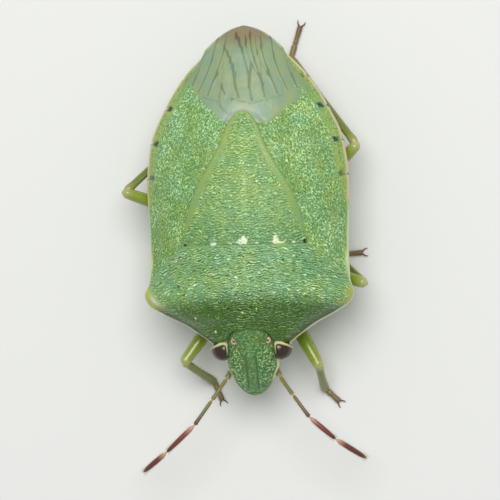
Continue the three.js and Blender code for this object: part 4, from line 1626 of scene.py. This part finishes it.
def make_plate_group() -> None:
    """Builds the colouring of sculptured plates.

    The group picks ground, ridge and pit colours by the mesh's own relief, which small flecks of noise take
    over by the flecks mask, in two tones, and lays the amber, ivory and dark marks over them. On the pronotum
    the second tone is painted shade, and the ivory also carries a painted highlight.
    """
    parts = ("Ground", "Ridge", "Pit", "Toned Ground", "Toned Ridge", "Toned Pit", "Amber", "Ivory", "Dark")
    graph, given, out = new_group(
        "plate_colours", dict.fromkeys(parts, "Color"), {"Colour": "Color", "Carving": "Float"}
    )
    spots = graph.ramp(graph.noise(0.08, 1.0, 21.0), 0.34, 0.66)
    carving = graph.blend(graph.mask("flecks"), graph.mask("relief"), spots)
    ridge, pit = graph.ramp(carving, 0.5, 1.0), graph.ramp(carving, 0.5, 0.0)
    tones = []
    for kind in ("", "Toned "):
        ground = graph.mix(ridge, given[f"{kind}Ground"], given[f"{kind}Ridge"])
        tones.append(graph.mix(pit, ground, given[f"{kind}Pit"]))
    # The second tone: painted shade on the pronotum's front slope, and the other plates' own second colour.
    colour = graph.mix(graph.mask("tone"), *tones)
    for mark in ("Amber", "Ivory", "Dark"):
        colour = graph.mix(graph.mask(mark.lower()), colour, given[mark])
    graph.feed_all(out, {"Colour": colour, "Carving": carving})


@dataclass(frozen=True)
class Gloss:
    """How a finish takes light: its roughness, its clear coat and how strongly its grain stands up."""

    roughness: float = 0.42
    coat: float = 0.12
    coat_roughness: float = 0.25
    grain: float = 0.6
    bump: float = 0.35
    translucence: float = 0.0


@dataclass(frozen=True)
class Finish:
    """What all finishes share: a name, a gloss and the soft variation of their colour."""

    name: str
    gloss: Gloss = Gloss()
    warm: Colour = (1.16, 1.04, 0.7)
    cool: Colour = (0.8, 0.97, 1.08)
    bump_depth: float = 0.02 * MILLIMETRE
    light_reach: Colour = (0.9, 1.0, 0.35)
    light_scale: float = 0.25 * MILLIMETRE

    def paint(self, graph: Graph) -> tuple[Value, Value]:
        """Gives the colour and the height of the carving. Each kind of finish has its own."""
        raise NotImplementedError

    def make(self) -> bpy.types.Material:
        """Builds the material: the paint, then the grain, the bump and the shader.

        Returns:
            The material.
        """
        material = bpy.data.materials.new(self.name)
        material.use_nodes = True
        material.node_tree.nodes.clear()
        graph, gloss = Graph(material.node_tree), self.gloss
        colour, height = self.paint(graph)
        grain = graph.group("fine_grain")
        given = {"Colour": colour, "Warm": self.warm, "Cool": self.cool, "Amount": gloss.grain}
        graph.feed_all(grain.inputs, given | {"Roughness": gloss.roughness})
        bump = graph.node("Bump")
        raised = graph.math("ADD", grain.outputs["Height"], height)
        graph.feed_all(bump.inputs, {"Strength": gloss.bump, "Distance": self.bump_depth, "Height": raised})
        shader = graph.node("BsdfPrincipled")
        given = {
            "Base Color": grain.outputs["Colour"],
            "Roughness": grain.outputs["Roughness"],
            "Normal": bump.outputs["Normal"],
            "Coat Weight": gloss.coat,
            "Coat Roughness": gloss.coat_roughness,
        }
        graph.feed_all(shader.inputs, given)
        if gloss.translucence:
            shader.inputs["Subsurface Weight"].default_value = gloss.translucence
            shader.inputs["Subsurface Radius"].default_value = self.light_reach
            shader.inputs["Subsurface Scale"].default_value = self.light_scale
        graph.feed(graph.node("OutputMaterial").inputs["Surface"], shader.outputs[0])
        return material


@dataclass(frozen=True, kw_only=True)
class PlateFinish(Finish):
    """A sculptured plate: the colours of its two tones and of its marks."""

    plain: Tones
    toned: Tones
    amber: Colour = linear(206, 168, 72)
    ivory: Colour = linear(240, 240, 204)
    dark: Colour = linear(34, 30, 26)
    carving: float = 0.6

    def paint(self, graph: Graph) -> tuple[Value, Value]:
        """Places the shared plate colouring.

        Args:
            graph: The material's graph.

        Returns:
            Its colour, and its carving as a height.
        """
        group = graph.group("plate_colours")
        given = (*self.plain.colours(), *self.toned.colours(), self.amber, self.ivory, self.dark)
        graph.feed_all(group.inputs, dict(enumerate(given)))
        return group.outputs["Colour"], graph.math("MULTIPLY", group.outputs["Carving"], self.carving)


@dataclass(frozen=True, kw_only=True)
class RampFinish(Finish):
    """A finish that changes along a piece by its station mask, in stops of station, red, green and blue."""

    stops: tuple[tuple[float, int, int, int], ...]

    def paint(self, graph: Graph) -> tuple[Value, Value]:
        """Places a colour ramp over the station mask.

        Args:
            graph: The material's graph.

        Returns:
            Its colour, and no height.
        """
        span = self.stops[-1][0]
        ramp = graph.node("ValToRGB")
        graph.feed(ramp.inputs["Fac"], graph.math("DIVIDE", graph.mask("station"), span))
        while len(ramp.color_ramp.elements) < len(self.stops):
            ramp.color_ramp.elements.new(1.0)
        for element, (station, *colour) in zip(ramp.color_ramp.elements, self.stops):
            element.position = station / span
            element.color = (*linear(*colour), 1.0)
        return ramp.outputs["Color"], 0.0


@dataclass(frozen=True, kw_only=True)
class BeadFinish(Finish):
    """A glossy bead, such as an eye: a deep colour, a paler one low down and a painted sheen where it turns
    away.
    """

    deep: Colour
    pale: Colour
    painted_sheen: Colour
    sheen_share: float
    sheen_blend: float = 0.35

    def paint(self, graph: Graph) -> tuple[Value, Value]:
        """Mixes the colours by the relief mask, and paints a sheen by a layer weight.

        Args:
            graph: The material's graph.

        Returns:
            Its colour, and no height.
        """
        colour = graph.mix(graph.ramp(graph.mask("relief"), 0.1, 0.9), self.pale, self.deep)
        # Painted sheen: a paler colour painted where the bead turns away from the view, as a reflection would
        # show.
        weight = graph.node("LayerWeight")
        graph.feed(weight.inputs["Blend"], self.sheen_blend)
        share = graph.math("MULTIPLY", weight.outputs["Facing"], self.sheen_share)
        return graph.mix(share, colour, self.painted_sheen), 0.0


CREAM = Tones((216, 208, 150), (216, 208, 150), (216, 208, 150))
PRONOTUM_GREEN = PlateFinish(
    "pronotum_green",
    Gloss(0.4, coat=0.25, coat_roughness=0.22),
    plain=Tones((128, 170, 110), (222, 252, 206), (66, 108, 54)),
    # The toned colours are painted shade, for the front slope that turns away from the light.
    toned=Tones((66, 108, 24), (142, 184, 104), (34, 66, 8)),
    amber=linear(196, 186, 62),
    ivory=linear(236, 236, 196),
    dark=linear(62, 40, 40),
)
SCUTELLUM_GREEN = PlateFinish(
    "scutellum_green",
    Gloss(0.42, coat=0.2),
    plain=Tones((136, 172, 106), (200, 234, 168), (96, 134, 70)),
    toned=Tones((112, 154, 94), (184, 222, 158), (78, 116, 62)),
    amber=linear(138, 162, 84),
    ivory=linear(236, 240, 204),
    dark=linear(24, 26, 22),
)
CORIUM_GREEN = PlateFinish(
    "corium_green",
    Gloss(0.42, coat=0.2),
    plain=Tones((122, 162, 86), (196, 232, 160), (84, 124, 58)),
    toned=Tones((132, 172, 106), (206, 240, 184), (92, 136, 74)),
    amber=linear(138, 162, 84),
    ivory=linear(212, 222, 160),
)
MEMBRANE = PlateFinish(
    "membrane",
    Gloss(0.46, coat_roughness=0.3, grain=0.5, bump=0.3),
    plain=Tones((140, 160, 126), (114, 124, 88), (140, 160, 126)),
    toned=Tones((136, 124, 96), (100, 84, 60), (136, 124, 96)),
    amber=linear(132, 154, 108),
    ivory=linear(156, 172, 154),
)
HEAD_GREEN = PlateFinish(
    "head_green",
    Gloss(0.38, coat=0.25, coat_roughness=0.2),
    plain=Tones((76, 120, 58), (196, 232, 160), (38, 78, 36)),
    toned=Tones((76, 130, 74), (168, 216, 150), (46, 92, 50)),
    amber=linear(140, 150, 80),
    ivory=linear(238, 236, 184),
    dark=linear(40, 62, 40),
)
EYE_RIM_CREAM = PlateFinish("eye_rim_cream", Gloss(0.4, coat=0.2), plain=CREAM, toned=CREAM)
UNDERSIDE_GREEN = PlateFinish(
    "underside_green",
    Gloss(0.38, coat=0.3, coat_roughness=0.2),
    plain=Tones((120, 158, 72), (172, 200, 116), (92, 128, 54)),
    toned=Tones((124, 156, 82), (168, 196, 124), (88, 120, 58)),
    amber=linear(160, 178, 90),
    ivory=linear(214, 192, 150),
    dark=linear(36, 70, 52),
)
EYE_MAROON = BeadFinish(
    "eye_maroon",
    Gloss(0.25, coat=0.4, coat_roughness=0.12, grain=0.1, bump=0.15),
    deep=linear(46, 28, 18),
    pale=linear(64, 42, 30),
    # The eye's grey sheen at its edges is painted.
    painted_sheen=linear(84, 70, 58),
    sheen_share=0.5,
)
OCELLUS = BeadFinish(
    "ocellus",
    Gloss(0.15, coat=1.0, coat_roughness=0.05, grain=0.05, bump=0.05),
    deep=linear(84, 34, 22),
    pale=linear(212, 180, 132),
    # The ocellus's pale rim where it turns away is a painted sheen.
    painted_sheen=linear(236, 200, 170),
    sheen_share=0.3,
)
FEELER_BANDS = RampFinish(
    "feeler",
    Gloss(0.38, coat=0.2, grain=0.15, bump=0.3),
    stops=(
        (0.0, 128, 138, 62), (0.17, 112, 116, 56), (0.2, 196, 158, 128), (0.225, 128, 124, 62),
        (0.385, 112, 116, 56), (0.4, 196, 158, 128), (0.42, 118, 114, 58), (0.55, 104, 84, 48),
        (0.59, 84, 52, 40), (0.602, 196, 158, 128), (0.63, 188, 140, 108), (0.665, 136, 64, 50),
        (0.79, 92, 40, 34), (0.802, 196, 158, 128), (0.83, 186, 132, 104), (0.86, 110, 50, 42),
        (0.96, 92, 40, 34), (1.0, 146, 96, 66), (1.2, 170, 130, 90),
    ),
)
LEG_GREEN = RampFinish(
    "leg_green",
    Gloss(0.22, coat=0.5, coat_roughness=0.12, grain=0.15, bump=0.12, translucence=0.35),
    stops=(
        (0.0, 150, 158, 84), (0.1, 124, 144, 44), (0.5, 122, 146, 22), (0.9, 138, 154, 50),
        (1.0, 176, 176, 116),
    ),
)
SHIN_OLIVE = RampFinish(
    "shin_olive",
    Gloss(0.35, coat=0.25, coat_roughness=0.2, grain=0.2, bump=0.25, translucence=0.15),
    stops=(
        (0.0, 170, 162, 96), (0.12, 120, 130, 62), (0.5, 124, 132, 68), (0.9, 130, 130, 70),
        (1.0, 140, 122, 72),
    ),
)
FOOT_BROWN = RampFinish(
    "foot_brown",
    Gloss(0.4, coat=0.2, grain=0.2, bump=0.3),
    stops=((0.0, 136, 124, 74), (0.5, 128, 106, 64), (1.0, 112, 82, 52), (1.5, 48, 32, 26)),
)


@dataclass
class Studio:
    """The pale floor, the soft light and the world."""

    floor_half: float = 600.0
    floor_colour: Colour = (0.8, 0.8, 0.78)
    floor_roughness: float = 0.9
    key_power: float = 0.22
    key_size: float = 120.0
    key_place: Point = (8.0, 55.0, 160.0)
    sky_colour: Colour = (0.97, 1.0, 0.98)
    sky_strength: float = 0.42

    def build(self) -> None:
        """Makes the floor, a large lamp above the rear and an even pale sky."""
        finish = bpy.data.materials.new("floor_pale")
        finish.use_nodes = True
        shader = finish.node_tree.nodes["Principled BSDF"]
        shader.inputs["Base Color"].default_value = (*self.floor_colour, 1.0)
        shader.inputs["Roughness"].default_value = self.floor_roughness
        size = self.floor_half * MILLIMETRE
        mesh = bpy.data.meshes.new("floor")
        corners = [(-size, -size, 0), (size, -size, 0), (size, size, 0), (-size, size, 0)]
        mesh.from_pydata(corners, [], [(0, 1, 2, 3)])
        mesh.materials.append(finish)
        floor = bpy.data.objects.new("floor", mesh)
        bpy.context.scene.collection.objects.link(floor)
        lamp = bpy.data.lights.new("key", "AREA")
        lamp.shape = "DISK"
        lamp.energy, lamp.size = self.key_power, self.key_size * MILLIMETRE
        key = bpy.data.objects.new("key", lamp)
        key.location = Vector(self.key_place) * MILLIMETRE
        key.rotation_euler = key.location.to_track_quat("Z", "Y").to_euler()
        bpy.context.scene.collection.objects.link(key)
        world = bpy.data.worlds.new("sky")
        world.use_nodes = True
        sky = world.node_tree.nodes["Background"]
        sky.inputs["Color"].default_value = (*self.sky_colour, 1.0)
        sky.inputs["Strength"].default_value = self.sky_strength
        bpy.context.scene.world = world
        bpy.context.scene.view_settings.view_transform = "Standard"


@dataclass
class PhotoCamera:
    """The view from above, a little from the bug's left, turned a little."""

    target: Point = (0.39, -0.25, 4.6)
    lens: float = 200.0
    sensor: float = 36.0
    frame_width: float = 20.29
    tilt_x: float = 5.8
    tilt_y: float = 0.2
    roll: float = 1.45
    clip_end: float = 10.0

    def build(self) -> None:
        """Makes the camera, which looks down a tilted axis. roll turns its up direction from +Y to +X."""
        data = bpy.data.cameras.new("camera")
        data.sensor_width, data.lens = self.sensor, self.lens
        distance = self.frame_width * self.lens / self.sensor
        data.clip_start, data.clip_end = 0.2 * distance * MILLIMETRE, self.clip_end
        tilts = (math.tan(math.radians(tilt)) for tilt in (self.tilt_x, self.tilt_y))
        away = Vector((*tilts, 1.0)).normalized()
        roll = math.radians(self.roll)
        right = Vector((math.sin(roll), math.cos(roll), 0.0)).cross(away).normalized()
        turned = Matrix((right, away.cross(right), away)).transposed().to_4x4()
        turned.translation = (Vector(self.target) + away * distance) * MILLIMETRE
        camera = bpy.data.objects.new("camera", data)
        camera.matrix_world = turned
        bpy.context.scene.collection.objects.link(camera)
        bpy.context.scene.camera = camera


def main() -> None:
    """Builds the camera, the light and the bug."""
    logging.basicConfig(level=logging.INFO, format="%(message)s")
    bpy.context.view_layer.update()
    PhotoCamera().build()
    Studio().build()
    make_grain_group()
    make_plate_group()
    Pronotum().build(PRONOTUM_GREEN.make())
    Scutellum().build(SCUTELLUM_GREEN.make())
    corium, membrane = CORIUM_GREEN.make(), MEMBRANE.make()
    for wing in (Wing(Side.LEFT, overlap=0.95, over=0.05), Wing(Side.RIGHT, overlap=0.3, over=0.0)):
        wing.corium(corium)
        wing.membrane(membrane)
    head, eye, cream = Head(), EYE_MAROON.make(), EYE_RIM_CREAM.make()
    head.build(HEAD_GREEN.make())
    head.ocelli(OCELLUS.make())
    for side in Side:
        head.eye(side, eye)
        head.rim(side, cream)
    Feelers().build(FEELER_BANDS.make())
    trunk, underside = Trunk(), UNDERSIDE_GREEN.make()
    trunk.thorax(underside, [leg.hip_centre() for leg in LEGS])
    trunk.abdomen(underside)
    trunk.beak(underside)
    thigh, shin, foot = LEG_GREEN.make(), SHIN_OLIVE.make(), FOOT_BROWN.make()
    for leg in LEGS:
        leg.thigh(thigh)
        leg.shin(shin)
        leg.foot(foot)
    bpy.context.view_layer.update()


if __name__ == "__main__":
    main()
